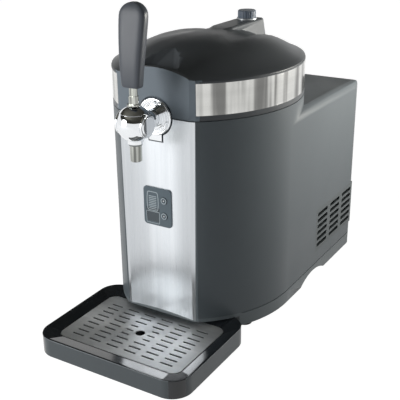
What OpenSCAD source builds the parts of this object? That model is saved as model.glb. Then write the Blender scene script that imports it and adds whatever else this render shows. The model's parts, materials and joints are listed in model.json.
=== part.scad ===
// Mini keg beer dispenser for one five litre keg: cooled drum with hinged lid,
// draught tap, drip tray and a thermoelectric cooler in the rear box.
// Millimetres. Z up, front at -Y, origin on the keg axis at table level.

/* [Body] */
// Half the width of the drum and the rear box
half_w = 125; // [115:0.5:140]
// Half the length of the oval drum before the front is cut flat
half_l = 149; // [140:0.5:165]
// Radius of the oval's front and rear arcs
end_r = 105; // [90:0.5:115]
// Distance from the keg axis to the flat front
facet_y = 134; // [128:0.5:145]
// Half width of the flat front between its two bevels
facet_w = 50; // [40:0.5:56]
// Rear face of the body
back_y = 250; // [235:1:270]
// Top of the drum rim, under the lid
rim_z = 305; // [290:0.5:320]
// Flat top of the rear box
box_z = 287; // [270:0.5:300]
// Underside of the base
base_z = 12; // [8:0.5:16]
// Seam between the base and the main shell
seam_z = 32; // [28:0.5:38]
// Shell wall thickness
wall = 3; // [2:0.1:5]
// Radius of the upright rear corners
corner_r = 18; // [10:0.5:30]
// Radius of the box's top edges
edge_r = 12; // [6:0.5:20]

/* [Keg chamber] */
// Inside radius of the chamber (the keg has a radius of 80.5)
chamber_r = 84; // [82:0.1:90]
// Inside floor height of the chamber
chamber_floor = 45; // [38:0.5:60]
// Chamber sheet thickness
chamber_t = 2.5; // [1:0.1:4]
// Rear face of the foam block
foam_back = 112; // [100:0.5:120]

/* [Front panel] */
// Steel sheet thickness of panel and band
sheet = 0.8; // [0.5:0.1:1.5]
// Half width of the panel at its top
panel_top_w = 57; // [52:0.5:60]
// Half width of the panel at its bottom
panel_low_w = 54; // [50:0.5:58]
// Height of the panel's bottom edge at the corners
panel_low_z = 28.5; // [28:0.5:34]
// Rise of the panel's arched bottom edge
panel_arch = 3; // [0:0.5:6]

/* [Lid] */
// Gap between rim and lid
lid_gap = 1; // [0.5:0.1:2]
// Top of the lid's upright wall
lid_wall_z = 354; // [345:0.5:365]
// Lower edge of the steel band
band_low_z = 312.5; // [309:0.5:318]
// Upper edge of the steel band
band_top_z = 352; // [340:0.5:356]
// Height of the arched front above the table
visor_z = 367; // [360:0.5:375]
// Highest point of the lid's crown
crown_z = 390; // [380:0.5:400]
// Lid wall thickness
lid_wall = 4.5; // [3:0.1:6]
// Radius of the visor's arched top edge
visor_r = 132; // [110:1:180]
// Thickness of the visor
visor_t = 6; // [4:0.5:9]
// Depth of the hollows beside the ridge
hollow_d = 9; // [4:0.5:12]
// Half width of the finger scoop
scoop_w = 29; // [20:0.5:36]
// Length of the finger scoop behind the visor
scoop_l = 38; // [25:0.5:45]
// Half width of the rear ridge at its top
ridge_w = 17; // [12:0.5:24]
// Top of the rear ridge
ridge_z = 391; // [386:0.5:400]
// Rear end of the ridge
ridge_back = 128; // [115:0.5:135]
// Hinge axis behind the lid
hinge_y = 157; // [154:0.5:165]
// Hinge axis height
hinge_z = 297; // [295:0.5:302]
// Hinge pin diameter
pin_d = 5; // [3:0.1:8]

/* [Knob] */
// Knob diameter
knob_d = 26; // [20:0.5:32]
// Knob height
knob_h = 10.5; // [8:0.5:16]
// Knob position behind the keg axis
knob_y = 104.5; // [95:0.5:110]

/* [Tap] */
// Height of the shank and flange centre
tap_z = 305.2; // [300:0.1:310]
// Radius of the flange disc
flange_r = 24; // [20:0.5:28]
// Distance of the tap ball from the keg axis
ball_y = 177; // [170:0.5:185]
// Height of the tap ball
ball_z = 306.5; // [304:0.1:309]
// Radius of the tap ball
ball_r = 22; // [18:0.5:26]
// Shank outside diameter
shank_d = 16; // [12:0.5:18]
// Shank bore diameter
shank_bore = 9; // [7:0.1:10]
// Plunger diameter
plunger_d = 8.9; // [6.8:0.05:9.9]
// Pivot pin diameter
pivot_d = 6; // [4:0.1:8]
// Running clearance of pins in their bores, on the radius
run_fit = 0.05; // [0.02:0.01:0.1]
// Lower end of the spout
spout_z = 260; // [250:0.5:270]
// Spout outside diameter
spout_d = 16; // [12:0.5:18]

/* [Lever] */
// Lower end of the handle
handle_low = 352; // [348:0.5:358]
// Upper end of the handle
handle_top = 449; // [430:0.5:460]
// Handle width near its top
handle_w = 37; // [30:0.5:44]
// Handle width at its foot
handle_foot_w = 26; // [20:0.5:32]
// Handle thickness
handle_t = 15; // [11:0.5:18]
// Backward lean of the handle's top
handle_lean = 9; // [0:0.5:14]

/* [Controls] */
// Width of the control plate
plate_w = 43; // [36:0.5:50]
// Height of the control plate
plate_h = 53; // [44:0.5:60]
// Centre height of the control plate
plate_z = 183.7; // [170:0.5:200]
// Button diameter
button_d = 9; // [7:0.5:11]
// Button distance from the plate's centre line
button_x = 10.4; // [8:0.1:12]
// Height of the upper button
button_hi = 194.2; // [188:0.1:200]
// Height of the lower button
button_lo = 172.8; // [168:0.1:180]

/* [Tray] */
// Half the width of the drip tray
tray_w = 114; // [100:0.5:122]
// Front edge of the drip tray
tray_front = 266; // [250:0.5:280]
// Rear edge of the drip tray
tray_back = 94; // [92:0.5:110]
// Tray height
tray_h = 26.2; // [20:0.1:26.5]
// Tray corner radius
tray_r = 28; // [15:0.5:35]
// Half the width of the drip grille
grille_w = 94; // [80:0.5:100]
// Half the length of the drip grille
grille_l = 61; // [50:0.5:66]
// Grille centre in front of the keg axis
grille_y = 181; // [170:0.5:190]
// Top face of the drip grille
grille_z = 20.7; // [16:0.1:23]
// Grille thickness
grille_t = 1.2; // [0.8:0.1:2]
// Slot pitch across the grille
slot_px = 27.9; // [22:0.1:32]
// Slot pitch along the grille
slot_py = 10.8; // [8:0.1:14]

/* [Vents] */
// Front end of the side vent field
vent_y0 = 103; // [95:0.5:120]
// Slot length of the side vents
vent_l = 37; // [25:0.5:40]
// Gap between slot columns
vent_gap = 10; // [5:0.5:15]
// Height of the lowest slot's centre
vent_z = 60; // [50:0.5:80]
// Pitch of the slot rows
vent_pitch = 10; // [8:0.5:14]
// Slot height
vent_h = 5.6; // [3:0.1:7]

/* [Cooler] */
// Centre height of the cooler
cool_z = 180; // [150:1:200]
// Fan frame size
fan_s = 92; // [80:1:120]
// Fan thickness
fan_t = 25; // [20:1:30]
// Number of heat sink fins
fins = 15; // [9:1:21]

/* [Hidden] */
flank_r = ((half_l - end_r) * (half_l - end_r) + half_w * half_w - end_r * end_r)
    / (2 * (half_w - end_r));
flank_x = flank_r - half_w;
end_y = half_l - end_r;
join_a = atan2(end_y, flank_x);
far = 3 * half_w;
bevel_w = panel_top_w + 0.6;
bevel_y = outline_y(bevel_w, 0);
bevel_nx = facet_y - bevel_y;
bevel_ny = bevel_w - facet_w;
lid_z = rim_z + lid_gap;
deck_t = 3;
chamber_out = chamber_r + chamber_t;
chamber_lip = chamber_out + 6;
box_in_z = box_z - wall;
seat_y = facet_y - 3;
seat_r = flange_r + 1.8;
tab_w = 9.5;
tab_z = 274;
block_w = 34;
block_y = 112;
overhang_z = 27;
step_y = 90;
band_w = panel_top_w + 1.2;
cap_x = 17;
cart_z = ridge_z - ridge_w - 1;
tower_z = lid_z + 51;
bonnet_z = 320;
knuckle_y = outline_y(33, lid_wall) + 0.3;
visor_low = visor_z - visor_r;
crown_edge_z = lid_wall_z + 2;
crown_n = 80;
crown_rings = [0, 0.14, 0.27, 0.39, 0.5, 0.6, 0.69, 0.77, 0.84, 0.9, 0.95, 1];
bulk_t = 2;
peltier_t = 4;
sink_y = foam_back + bulk_t + 4;
sink_base = 6;
fan_y = sink_y + 34;
vent_w = 3 * vent_l + 2 * vent_gap;
grip_r = 86;
grip_top = 22.8;
grip_y = 92;
grip_x = half_w - 20;
keyway = 34;
board_w = 140;
board_l = 120;
board_x = 25 - half_w;
board_y = back_y - 10 - board_l;
board_z = 46;
inlet_x = half_w - 53;
plate_t = 1.6;
plate_out = facet_y + plate_t;
$fn = 96;

// Distance of the oval's outline from its long axis' middle at the side distance x.
function outline_y(x, inset) = x < (flank_r - inset) * cos(join_a) - flank_x
    ? end_y + sqrt(pow(end_r - inset, 2) - x * x)
    : sqrt(pow(flank_r - inset, 2) - pow(x + flank_x, 2));

// One flank of the front half oval: an arc sector about the opposite side.
module flank_sector(inset) {
    intersection() {
        translate([-flank_x, 0]) circle(flank_r - inset, $fn = 180);
        polygon([[-flank_x, 0], [far, 0], [far, -far],
            [-flank_x + far * cos(join_a), -far * sin(join_a)]]);
    }
}

// Front half of the oval, from the keg axis forward.
module half_oval(inset = 0) {
    flank_sector(inset);
    mirror([1, 0]) flank_sector(inset);
    intersection() {
        translate([0, -end_y]) circle(end_r - inset, $fn = 120);
        translate([-far, -far]) square([2 * far, far]);
    }
}

// The part of the plan in front of the flat front and its two bevels.
module facet_cut(inset = 0) {
    polygon([[-bevel_w, -bevel_y + inset], [-facet_w, -facet_y + inset],
        [facet_w, -facet_y + inset], [bevel_w, -bevel_y + inset],
        [bevel_w + 30, -bevel_y - 60], [-bevel_w - 30, -bevel_y - 60]]);
}

// Front half of the drum plan with its flat front.
module front_plan(inset = 0) {
    difference() {
        half_oval(inset);
        facet_cut(inset);
    }
}

// Whole oval of the lid, flat at the front.
module lid_plan(inset = 0) {
    front_plan(inset);
    mirror([0, 1]) half_oval(inset);
}

// Rounded rectangle plate plan.
module round_rect(w, l, r) {
    for (s = [0, 1]) square([w - 2 * r * s, l - 2 * r * (1 - s)], center = true);
    for (x = [-1, 1], y = [-1, 1]) translate([x * (w / 2 - r), y * (l / 2 - r)]) circle(r);
}

// Plan of the rear box.
module box_plan(inset = 0) {
    w = half_w - inset;
    b = back_y - inset;
    r = corner_r - inset;
    translate([-w, 0]) square([2 * w, b - r]);
    translate([r - w, 0]) square([2 * (w - r), b]);
    for (s = [-1, 1]) translate([s * (w - r), b - r]) circle(r);
}

// Side or front outline of the box with one or two rounded top edges.
module top_round(w0, w1, z0, z1, r, both) {
    left = both ? r : 0;
    translate([w0, z0]) square([w1 - w0, z1 - r - z0]);
    translate([w0 + left, z0]) square([w1 - w0 - r - left, z1 - z0]);
    translate([w1 - r, z1 - r]) circle(r);
    if (both) translate([w0 + r, z1 - r]) circle(r);
}

// Rear box with rounded upright corners and rounded top edges.
module rear_box(inset, z0) {
    intersection() {
        translate([0, 0, z0]) linear_extrude(box_z - inset - z0) box_plan(inset);
        rotate([90, 0, 0]) translate([0, 0, -back_y - 1]) linear_extrude(back_y + 2)
            top_round(-half_w + inset, half_w - inset, z0 - 1, box_z - inset,
                edge_r - inset, true);
        rotate([90, 0, 90]) translate([0, 0, -half_w - 1]) linear_extrude(2 * half_w + 2)
            top_round(-1, back_y - inset, z0 - 1, box_z - inset, edge_r - inset, false);
    }
}

// Round bar along Y.
module y_bar(r, y0, y1, x = 0, z = 0) {
    translate([x, y1, z]) rotate([90, 0, 0]) cylinder(h = y1 - y0, r = r);
}

// Round bar along X.
module x_bar(r, x0, x1, y = 0, z = 0) {
    translate([x0, y, z]) rotate([0, 90, 0]) cylinder(h = x1 - x0, r = r);
}

// Box from its two corners.
module block(a, b) {
    translate(a) cube(b - a);
}

// Zone of the steel panel in front view, arched at its foot.
module panel_zone() {
    rotate([90, 0, 0]) linear_extrude(facet_y + 30)
        difference() {
            polygon([[-panel_low_w, panel_low_z], [panel_low_w, panel_low_z],
                [panel_top_w, rim_z + 1], [-panel_top_w, rim_z + 1]]);
            translate([0, panel_low_z + panel_arch - 490]) circle(490, $fn = 360);
        }
}

// Clear opening round the tap flange and its tab, in front view.
module tap_opening(grow) {
    translate([0, tap_z]) circle(flange_r + grow);
    translate([-tab_w - grow, tab_z - grow]) square([2 * (tab_w + grow), tap_z - tab_z]);
}

// Slot in which the shank is laid down from above.
module shank_way(y0, y1, top) {
    y_bar(shank_d / 2 + 0.1, y0, y1, 0, tap_z);
    block([-shank_d / 2 - 0.1, y0, tap_z], [shank_d / 2 + 0.1, y1, top]);
}

// Slot field of the side vents, seen from the side.
module vent_slots(h) {
    for (c = [0:2], r = [0:5])
        translate([vent_y0 + vent_l / 2 + c * (vent_l + vent_gap), vent_z + r * vent_pitch])
            round_rect(vent_l, h, h / 2 - 0.01);
}

module housing() {
    color("#4d5357") difference() {
        union() {
            translate([0, 0, seam_z]) linear_extrude(rim_z - seam_z) front_plan();
            rear_box(0, seam_z);
            translate([0, 0, box_z - edge_r]) linear_extrude(rim_z - box_z + edge_r)
                mirror([0, 1]) half_oval();
            for (s = [-1, 1]) hinge_ear(s);
        }
        // Hollow inside, closed above by the deck and the box top.
        difference() {
            union() {
                translate([0, 0, seam_z - 1]) linear_extrude(rim_z - deck_t - seam_z + 1)
                    front_plan(wall);
                rear_box(wall, seam_z - 1);
                translate([0, 0, box_in_z - edge_r]) linear_extrude(rim_z - deck_t - box_in_z + edge_r)
                    mirror([0, 1]) half_oval(wall);
            }
            block([-block_w, -facet_y, tab_z - 8], [block_w, -block_y, rim_z]);
            for (x = [-1, 1], y = [20, back_y - 28])
                translate([x * (half_w - 7), y, seam_z]) cylinder(h = 12, r = 6);
        }
        // Mouth of the keg chamber with a seat for its lip.
        translate([0, 0, rim_z - deck_t - 1]) cylinder(h = deck_t + 2, r = chamber_out);
        translate([0, 0, rim_z - 1.5]) cylinder(h = 3, r = chamber_lip);
        // Recess of the steel panel.
        panel_recess();
        // Seat of the tap flange and way of the shank.
        translate([0, -seat_y, 0]) rotate([90, 0, 0]) linear_extrude(20) tap_opening(1.8);
        shank_way(-facet_y, -60, rim_z + 5);
        control_hole();
        for (s = [-1, 1]) side_vent_place(s) linear_extrude(30, center = true)
            translate([vent_y0 - 6, vent_z - 10]) square([vent_w + 12, 5 * vent_pitch + 20]);
        rear_opening();
        inlet_opening(0);
        for (x = [-1, 1], z = [-1, 1])
            y_bar(1.6, back_y - wall - 5, back_y + 1, x * 73.5, cool_z - 5 + z * 68.5);
        for (s = [-1, 1]) y_bar(1.6, back_y - wall - 5, back_y + 1, inlet_x + s * 19.5, 68);
    }
}

// Recess in which the steel panel lies.
module panel_recess() {
    intersection() {
        translate([0, 0, panel_low_z]) linear_extrude(rim_z) difference() {
            half_oval();
            front_plan_in();
        }
        panel_zone();
    }
}

// Drum plan reduced by the sheet thickness over the panel's width.
module front_plan_in() {
    difference() {
        half_oval(sheet);
        facet_cut(sheet);
    }
}

// Upright ears that carry the hinge pin on the rear box.
module hinge_ear(s) {
    difference() {
        hull() {
            x_bar(6, s * 48 - 5, s * 48 + 5, hinge_y, hinge_z);
            block([s * 48 - 5, hinge_y - 8, box_z - 4], [s * 48 + 5, hinge_y + 12, box_z - 3]);
        }
        x_bar(pin_d / 2, s * 48 - 6, s * 48 + 6, hinge_y, hinge_z);
    }
}

// Opening behind the control plate.
module control_hole() {
    block([-plate_w / 2 + 4, -facet_y - 1, plate_z - plate_h / 2 + 4],
        [plate_w / 2 - 4, -facet_y + wall + 1, plate_z + plate_h / 2 - 4]);
}

// Turns a front-view drawing to the right or left side wall.
module side_vent_place(s) {
    translate([s * half_w, 0, 0]) rotate([90, 0, 90]) children();
}

// Opening of the rear grille.
module rear_opening() {
    block([-70, back_y - wall - 1, cool_z - 70], [70, back_y + 1, cool_z + 60]);
}

// Opening of the mains inlet.
module inlet_opening(g) {
    block([inlet_x - 14 - g, back_y - wall - 1, 56 - g], [inlet_x + 14 + g, back_y + 1, 80 + g]);
}

module base() {
    color("#3a3e42") difference() {
        union() {
            difference() {
                translate([0, 0, base_z]) linear_extrude(seam_z - base_z) {
                    difference() {
                        front_plan();
                        translate([-far, -far]) square([2 * far, far - step_y]);
                    }
                    box_plan();
                }
                translate([0, 0, base_z + wall]) linear_extrude(seam_z) {
                    difference() {
                        front_plan(wall);
                        translate([-far, -far]) square([2 * far, far - step_y + wall]);
                    }
                    box_plan(wall);
                }
                // Shadow line at the seam.
                translate([0, 0, seam_z - 1.2]) linear_extrude(2) difference() {
                    union() {
                        half_oval(-3);
                        box_plan(-3);
                    }
                    union() {
                        front_plan(1.2);
                        box_plan(1.2);
                    }
                }
            }
            grip_wall(1);
            grip_wall(-1);
            // Front lip that overhangs the drip tray.
            translate([0, 0, overhang_z]) linear_extrude(seam_z - overhang_z) intersection() {
                front_plan();
                translate([-far, -far - step_y]) square([2 * far, far + wall]);
            }
            // Ribs that carry the foam block.
            for (x = [-62, 0, 62]) block([x - 1.5, -step_y + wall, base_z + wall],
                [x + 1.5, foam_back - 4, seam_z + 4]);
            // Guides of the tray tongue below the floor.
            for (s = [-1, 1]) {
                block([min(s * 30.3, s * keyway), -step_y + 2, 1.2],
                    [max(s * 30.3, s * keyway), 30, base_z]);
                block([min(s * 24, s * keyway), -step_y + 2, 1.2],
                    [max(s * 24, s * keyway), 30, 3.7]);
            }
        }
        for (s = [-1, 1]) x_bar(grip_r, min(s * grip_x, s * (half_w + 2)),
            max(s * grip_x, s * (half_w + 2)), grip_y, grip_top - grip_r);
        panel_recess();
    }
}

// Inner wall that closes a hand grip from the inside.
module grip_wall(s) {
    intersection() {
        translate([0, 0, base_z]) linear_extrude(seam_z - base_z) box_plan(1.5);
        difference() {
            x_bar(grip_r + wall, min(s * (grip_x - wall), s * (half_w + 1)),
                max(s * (grip_x - wall), s * (half_w + 1)), grip_y, grip_top - grip_r);
            block([-far, -far, -far], [far, far, base_z]);
        }
    }
}

module feet() {
    color("#1b1c1d") for (p = [[37 - half_w, -58], [half_w - 37, -58],
        [30 - half_w, back_y - 35], [half_w - 30, back_y - 35]])
        translate([p[0], p[1], 0]) {
            cylinder(h = 2, r1 = 11, r2 = 12);
            translate([0, 0, 2]) cylinder(h = base_z - 2, r = 12);
        }
}

module front_panel() {
    color("#c9cccf") difference() {
        intersection() {
            translate([0, 0, panel_low_z]) linear_extrude(rim_z - 0.4 - panel_low_z) difference() {
                front_plan();
                front_plan_in();
            }
            panel_zone();
        }
        translate([0, -facet_y + 5, 0]) rotate([90, 0, 0]) linear_extrude(20) tap_opening(1.8);
        block([-plate_w / 2 + 1.5, -facet_y - 1, plate_z - plate_h / 2 + 1.5],
            [plate_w / 2 - 1.5, -facet_y + 3, plate_z + plate_h / 2 - 1.5]);
    }
}

module chamber() {
    color("#b9bdc0") difference() {
        union() {
            translate([0, 0, chamber_floor - chamber_t])
                cylinder(h = rim_z - 1.5 - chamber_floor + chamber_t, r = chamber_out);
            translate([0, 0, rim_z - 1.5]) cylinder(h = 1.5, r = chamber_lip);
        }
        translate([0, 0, chamber_floor]) cylinder(h = rim_z, r = chamber_r);
        shank_way(-chamber_lip - 1, -chamber_r + 20, rim_z + 2);
    }
}

module insulation() {
    color("#e6dfc6") difference() {
        union() {
            translate([0, 0, seam_z + 4]) linear_extrude(rim_z - deck_t - seam_z - 4)
                front_plan(wall);
            intersection() {
                rear_box(wall, seam_z + 4);
                block([-far, -1, 0], [far, foam_back, far]);
            }
            translate([0, 0, box_in_z - edge_r])
                linear_extrude(rim_z - deck_t - box_in_z + edge_r) intersection() {
                    mirror([0, 1]) half_oval(wall);
                    translate([-far, 0]) square([2 * far, foam_back]);
                }
        }
        translate([0, 0, chamber_floor - chamber_t]) cylinder(h = rim_z, r = chamber_out);
        block([-block_w, -facet_y, tab_z - 8], [block_w, -block_y, rim_z]);
        shank_way(-facet_y, -60, rim_z);
        block([-31, 60, cool_z - 31], [31, foam_back + 1, cool_z + 31]);
        block([-plate_w / 2, -facet_y, plate_z - plate_h / 2],
            [plate_w / 2, -facet_y + 16, plate_z + plate_h / 2]);
        for (x = [-1, 1]) translate([x * (half_w - 7), 20, seam_z]) cylinder(h = 12, r = 6);
        for (s = [-1, 1]) block([s * (half_w - 10) - 8, vent_y0 - 8, vent_z - 12],
            [s * (half_w - 10) + 8, foam_back + 1, vent_z + 5 * vent_pitch + 12]);
    }
}

module bulkhead() {
    color("#8d9194") difference() {
        intersection() {
            rear_box(wall, seam_z + 4);
            block([-far, foam_back, 0], [far, foam_back + bulk_t, far]);
        }
        block([-22, foam_back - 1, cool_z - 22], [22, foam_back + bulk_t + 1, cool_z + 22]);
        for (s = [-1, 1]) block([s * (half_w - 10) - 8, foam_back - 1, vent_z - 12],
            [s * (half_w - 10) + 8, foam_back + 5, vent_z + 5 * vent_pitch + 12]);
    }
}

module cold_block() {
    color("#c2c6c8") difference() {
        block([-31, 60, cool_z - 31], [31, foam_back, cool_z + 31]);
        cylinder(h = rim_z, r = chamber_out);
    }
}

module peltier() {
    color("#e9e9e4") block([-20, foam_back, cool_z - 20], [20, sink_y, cool_z + 20]);
}

module heat_sink() {
    color("#aeb3b6") {
        block([-48, sink_y, cool_z - 55], [48, sink_y + sink_base, cool_z + 55]);
        for (i = [0:fins - 1]) let(x = -47 + i * 94 / (fins - 1))
            block([x - 0.8, sink_y + sink_base - 0.5, cool_z - 55], [x + 0.8, fan_y, cool_z + 55]);
        for (x = [-1, 1], z = [-1, 1])
            y_bar(4, foam_back + bulk_t, sink_y + 1, x * 40, cool_z + z * 48);
    }
}

module fan_frame() {
    color("#232527") translate([0, 0, cool_z]) difference() {
        union() {
            difference() {
                translate([0, fan_y + fan_t, 0]) rotate([90, 0, 0])
                    linear_extrude(fan_t) round_rect(fan_s, fan_s, 4);
                y_bar(fan_s / 2 - 2.5, fan_y - 1, fan_y + fan_t + 1);
            }
            y_bar(15, fan_y + fan_t - 4, fan_y + fan_t);
            for (a = [45:90:315]) rotate([0, a, 0])
                block([13, fan_y + fan_t - 3.5, -2], [fan_s / 2 - 1, fan_y + fan_t, 2]);
        }
        for (x = [-1, 1], z = [-1, 1])
            y_bar(2.2, fan_y - 1, fan_y + fan_t + 1, x * 41, z * 41);
        y_bar(2.5 + run_fit, fan_y + fan_t - 5, fan_y + fan_t + 1);
    }
}

module fan_rotor() {
    color("#2c2f31") translate([0, 0, cool_z]) {
        y_bar(16, fan_y + 2, fan_y + fan_t - 4.6);
        y_bar(2.5, fan_y + 6, fan_y + fan_t - 0.4);
        for (i = [0:8]) rotate([0, i * 40, 0]) translate([0, fan_y + 11, 28.5])
            rotate([0, 0, 38]) cube([19, 1.8, 27], center = true);
    }
}

module power_board() {
    color("#2f6b45") difference() {
        block([board_x, board_y, board_z], [board_x + board_w, board_y + board_l, board_z + 1.6]);
        for (x = [4, board_w - 4], y = [4, board_l - 4])
            translate([board_x + x, board_y + y, board_z - 6]) cylinder(h = 20, r = 1.6);
    }
}

module power_parts() {
    color("#3b3f44") {
        translate([board_x, board_y, board_z + 1.6]) {
            block([10, board_l - 50, 0], [45, board_l - 10, 30.4]);
            for (i = [0:3]) translate([60 + i * 18, board_l - 25, 0])
                cylinder(h = 26 - 3 * (i % 2), r = 7);
            block([70, 30, 0], [110, 34, 32.4]);
            block([16, 20, 0], [50, 50, 14.4]);
        }
        for (x = [4, board_w - 4], y = [4, board_l - 4]) translate([board_x + x, board_y + y,
            base_z + wall]) cylinder(h = board_z - base_z - wall, r = 3.5);
    }
}

module mains_inlet() {
    color("#1f2123") difference() {
        union() {
            block([inlet_x - 14, back_y - 22, 56], [inlet_x + 14, back_y, 80]);
            translate([inlet_x, back_y + 2, 68]) rotate([90, 0, 0]) linear_extrude(2)
                round_rect(48, 30, 4);
        }
        block([inlet_x - 11, back_y - 16, 59], [inlet_x + 11, back_y + 3, 77]);
        for (s = [-1, 1]) y_bar(1.6, back_y - 1, back_y + 3, inlet_x + s * 19.5, 68);
    }
    color("#c9b878") for (x = [-6, 0, 6])
        block([inlet_x - 1 + x, back_y - 16, 66], [inlet_x + 1 + x, back_y - 3, 70]);
}

module rear_grille() {
    color("#3a3e42") translate([0, back_y + 2, cool_z - 5]) rotate([90, 0, 0]) linear_extrude(2)
            difference() {
                round_rect(156, 146, 8);
                for (r = [-5:5], c = [-1:1]) translate([c * 44, r * 10.5])
                    round_rect(38, 5, 2.4);
                for (x = [-1, 1], y = [-1, 1]) translate([x * 73.5, y * 68.5]) circle(1.6);
            }
}

module rear_screws() {
    color("#8f9396") {
        for (x = [-1, 1], z = [-1, 1]) translate([x * 73.5, 0, cool_z - 5 + z * 68.5]) {
            screw_y(back_y + 2);
        }
        for (s = [-1, 1]) translate([inlet_x + s * 19.5, 0, 68]) screw_y(back_y + 2);
    }
}

// Pan head screw with its head on the plane y.
module screw_y(y) {
    difference() {
        union() {
            y_bar(1.6, y - 9, y);
            y_bar(3, y, y + 1.8);
        }
        for (a = [0, 90]) translate([0, y + 1.8, 0]) rotate([0, a, 0])
            cube([3.6, 1.6, 0.8], center = true);
    }
}

module side_vents() {
    color("#2a2d30") for (s = [-1, 1]) side_vent_place(s) {
        translate([0, 0, s > 0 ? -wall : 0]) linear_extrude(wall) difference() {
            translate([vent_y0 - 6, vent_z - 10]) square([vent_w + 12, 5 * vent_pitch + 20]);
            vent_slots(vent_h);
        }
    }
}

module control_plate() {
    color("#4a5560") difference() {
        translate([0, -facet_y, plate_z]) rotate([90, 0, 0])
            linear_extrude(plate_t) round_rect(plate_w, plate_h, 5);
        block([-plate_w / 2 + 4, -plate_out - 1, plate_z - plate_h / 2 + 5],
            [3, -facet_y + 1, plate_z - 2]);
        for (z = [button_lo, button_hi])
            y_bar(button_d / 2 + 0.3, -plate_out - 1, -facet_y + 1, button_x, z);
    }
}

module display_window() {
    color("#9fb0b8") block([-plate_w / 2 + 4, -plate_out + 0.3, plate_z - plate_h / 2 + 5],
        [3, -facet_y, plate_z - 2]);
}

module control_board() {
    color("#2f6b45") {
        block([-plate_w / 2 + 5, -facet_y + 7, plate_z - plate_h / 2 + 5],
            [plate_w / 2 - 5, -facet_y + 8.6, plate_z + plate_h / 2 - 5]);
        for (z = [button_lo, button_hi]) y_bar(3, -facet_y + 5.6, -facet_y + 7, button_x, z);
        block([-plate_w / 2 + 5, -facet_y, plate_z - plate_h / 2 + 6],
            [2, -facet_y + 7, plate_z - 3]);
    }
}

// Push button with a dished ring face and a stem to its switch.
module button_at(z) {
    color("#5a646e") difference() {
        union() {
            y_bar(button_d / 2, -plate_out - 1, -facet_y + 2, button_x, z);
            y_bar(2, -facet_y + 1.5, -facet_y + 4.4, button_x, z);
        }
        y_bar(button_d / 2 - 2.6, -plate_out - 2, -plate_out - 0.6, button_x, z);
    }
}

module button_upper() {
    button_at(button_hi);
}

module button_lower() {
    button_at(button_lo);
}

// Distance from the keg axis to the lid's outline in the direction a.
function lid_edge(a) = let(c = abs(cos(a)), s = abs(sin(a)),
    oval = atan2(s, c) < atan2(flank_r * sin(join_a), flank_r * cos(join_a) - flank_x)
        ? sqrt(flank_r * flank_r - flank_x * flank_x * s * s) - flank_x * c
        : end_y * s + sqrt(end_r * end_r - end_y * end_y * c * c),
    bevel = (bevel_nx * facet_w + bevel_ny * facet_y) / (bevel_nx * c + bevel_ny * s))
    sin(a) > 0 ? oval : min(oval, bevel, facet_y / max(s, 0.01));

// Height of the crown's edge in the direction a: it follows the visor at the front.
function edge_height(a) = let(x = lid_edge(a) * cos(a))
    sin(a) < 0 && abs(x) < facet_w
        ? max(crown_edge_z, visor_low + sqrt(visor_r * visor_r - x * x) - 1.2) : crown_edge_z;

// Depth of the hollow beside the ridge at a point of the crown.
function hollow(x, y) = let(t = max(0, min(1, (y + 50) / 170)),
    off = abs(x) - 47 + 23 * t) hollow_d * t * (1.7 - 0.7 * t) * exp(-off * off / 240);

// Point of the crown at the share t of its radius in the direction a.
function crown_point(a, t, inset) = let(r = t * (lid_edge(a) - inset - 0.6),
    x = r * cos(a), y = r * sin(a), z = edge_height(a))
    [x, y, z + (crown_z - z) * pow(1 - pow(t, 3.1), 1.35)
        - hollow(x, y) * (1 - pow(t, 6)) - 1.05 * inset];

// Domed crown of the lid over its upright wall; inset gives the inner face.
module crown(inset) {
    m = len(crown_rings) - 1;
    foot = lid_wall_z - 3 - inset;
    polyhedron(
        points = concat([crown_point(0, 0, inset)],
            [for (j = [1:m], i = [0:crown_n - 1])
                crown_point(i * 360 / crown_n, crown_rings[j], inset)],
            [for (i = [0:crown_n - 1]) let(p = crown_point(i * 360 / crown_n, 1, inset))
                [p[0], p[1], foot]]),
        faces = concat(
            [for (i = [0:crown_n - 1]) [0, 1 + (i + 1) % crown_n, 1 + i]],
            [for (j = [0:m - 1], i = [0:crown_n - 1]) let(a = 1 + j * crown_n,
                k = (i + 1) % crown_n) [a + i, a + k, a + crown_n + i]],
            [for (j = [0:m - 1], i = [0:crown_n - 1]) let(a = 1 + j * crown_n,
                k = (i + 1) % crown_n) [a + k, a + crown_n + k, a + crown_n + i]],
            [[for (i = [crown_n - 1:-1:0]) 1 + m * crown_n + (crown_n - 1 - i)]]));
}

// Rear ridge with its flat top and steep sides.
module ridge(inset) {
    hull() {
        for (x = [-1, 1]) {
            translate([x * (ridge_w - 4), ridge_back - 5, ridge_z - 4 - inset]) sphere(4, $fn = 32);
            translate([x * (ridge_w - 4), 34, ridge_z - 4 - inset]) sphere(4, $fn = 32);
            translate([x * (ridge_w - inset), ridge_back - 6 - inset, lid_wall_z - 2])
                cylinder(h = 2, r = 6);
            translate([x * (ridge_w - 2), 6, ridge_z - 10]) sphere(4, $fn = 32);
        }
        translate([0, -4, ridge_z - 7 - inset]) sphere(4, $fn = 32);
    }
}

// Arched plate that closes the lid's front above the wall.
module visor() {
    intersection() {
        translate([0, 0, lid_z]) linear_extrude(80) difference() {
            front_plan(0);
            front_plan(visor_t);
            translate([-far, -step_y - 15]) square([2 * far, far]);
        }
        rotate([90, 0, 0]) linear_extrude(far) union() {
            translate([-facet_w - 8, lid_z]) square([2 * facet_w + 16, lid_wall_z - lid_z + 2]);
            intersection() {
                translate([0, visor_low]) circle(visor_r, $fn = 180);
                translate([-facet_w, lid_wall_z - 8]) square([2 * facet_w, 40]);
            }
        }
    }
}

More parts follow.
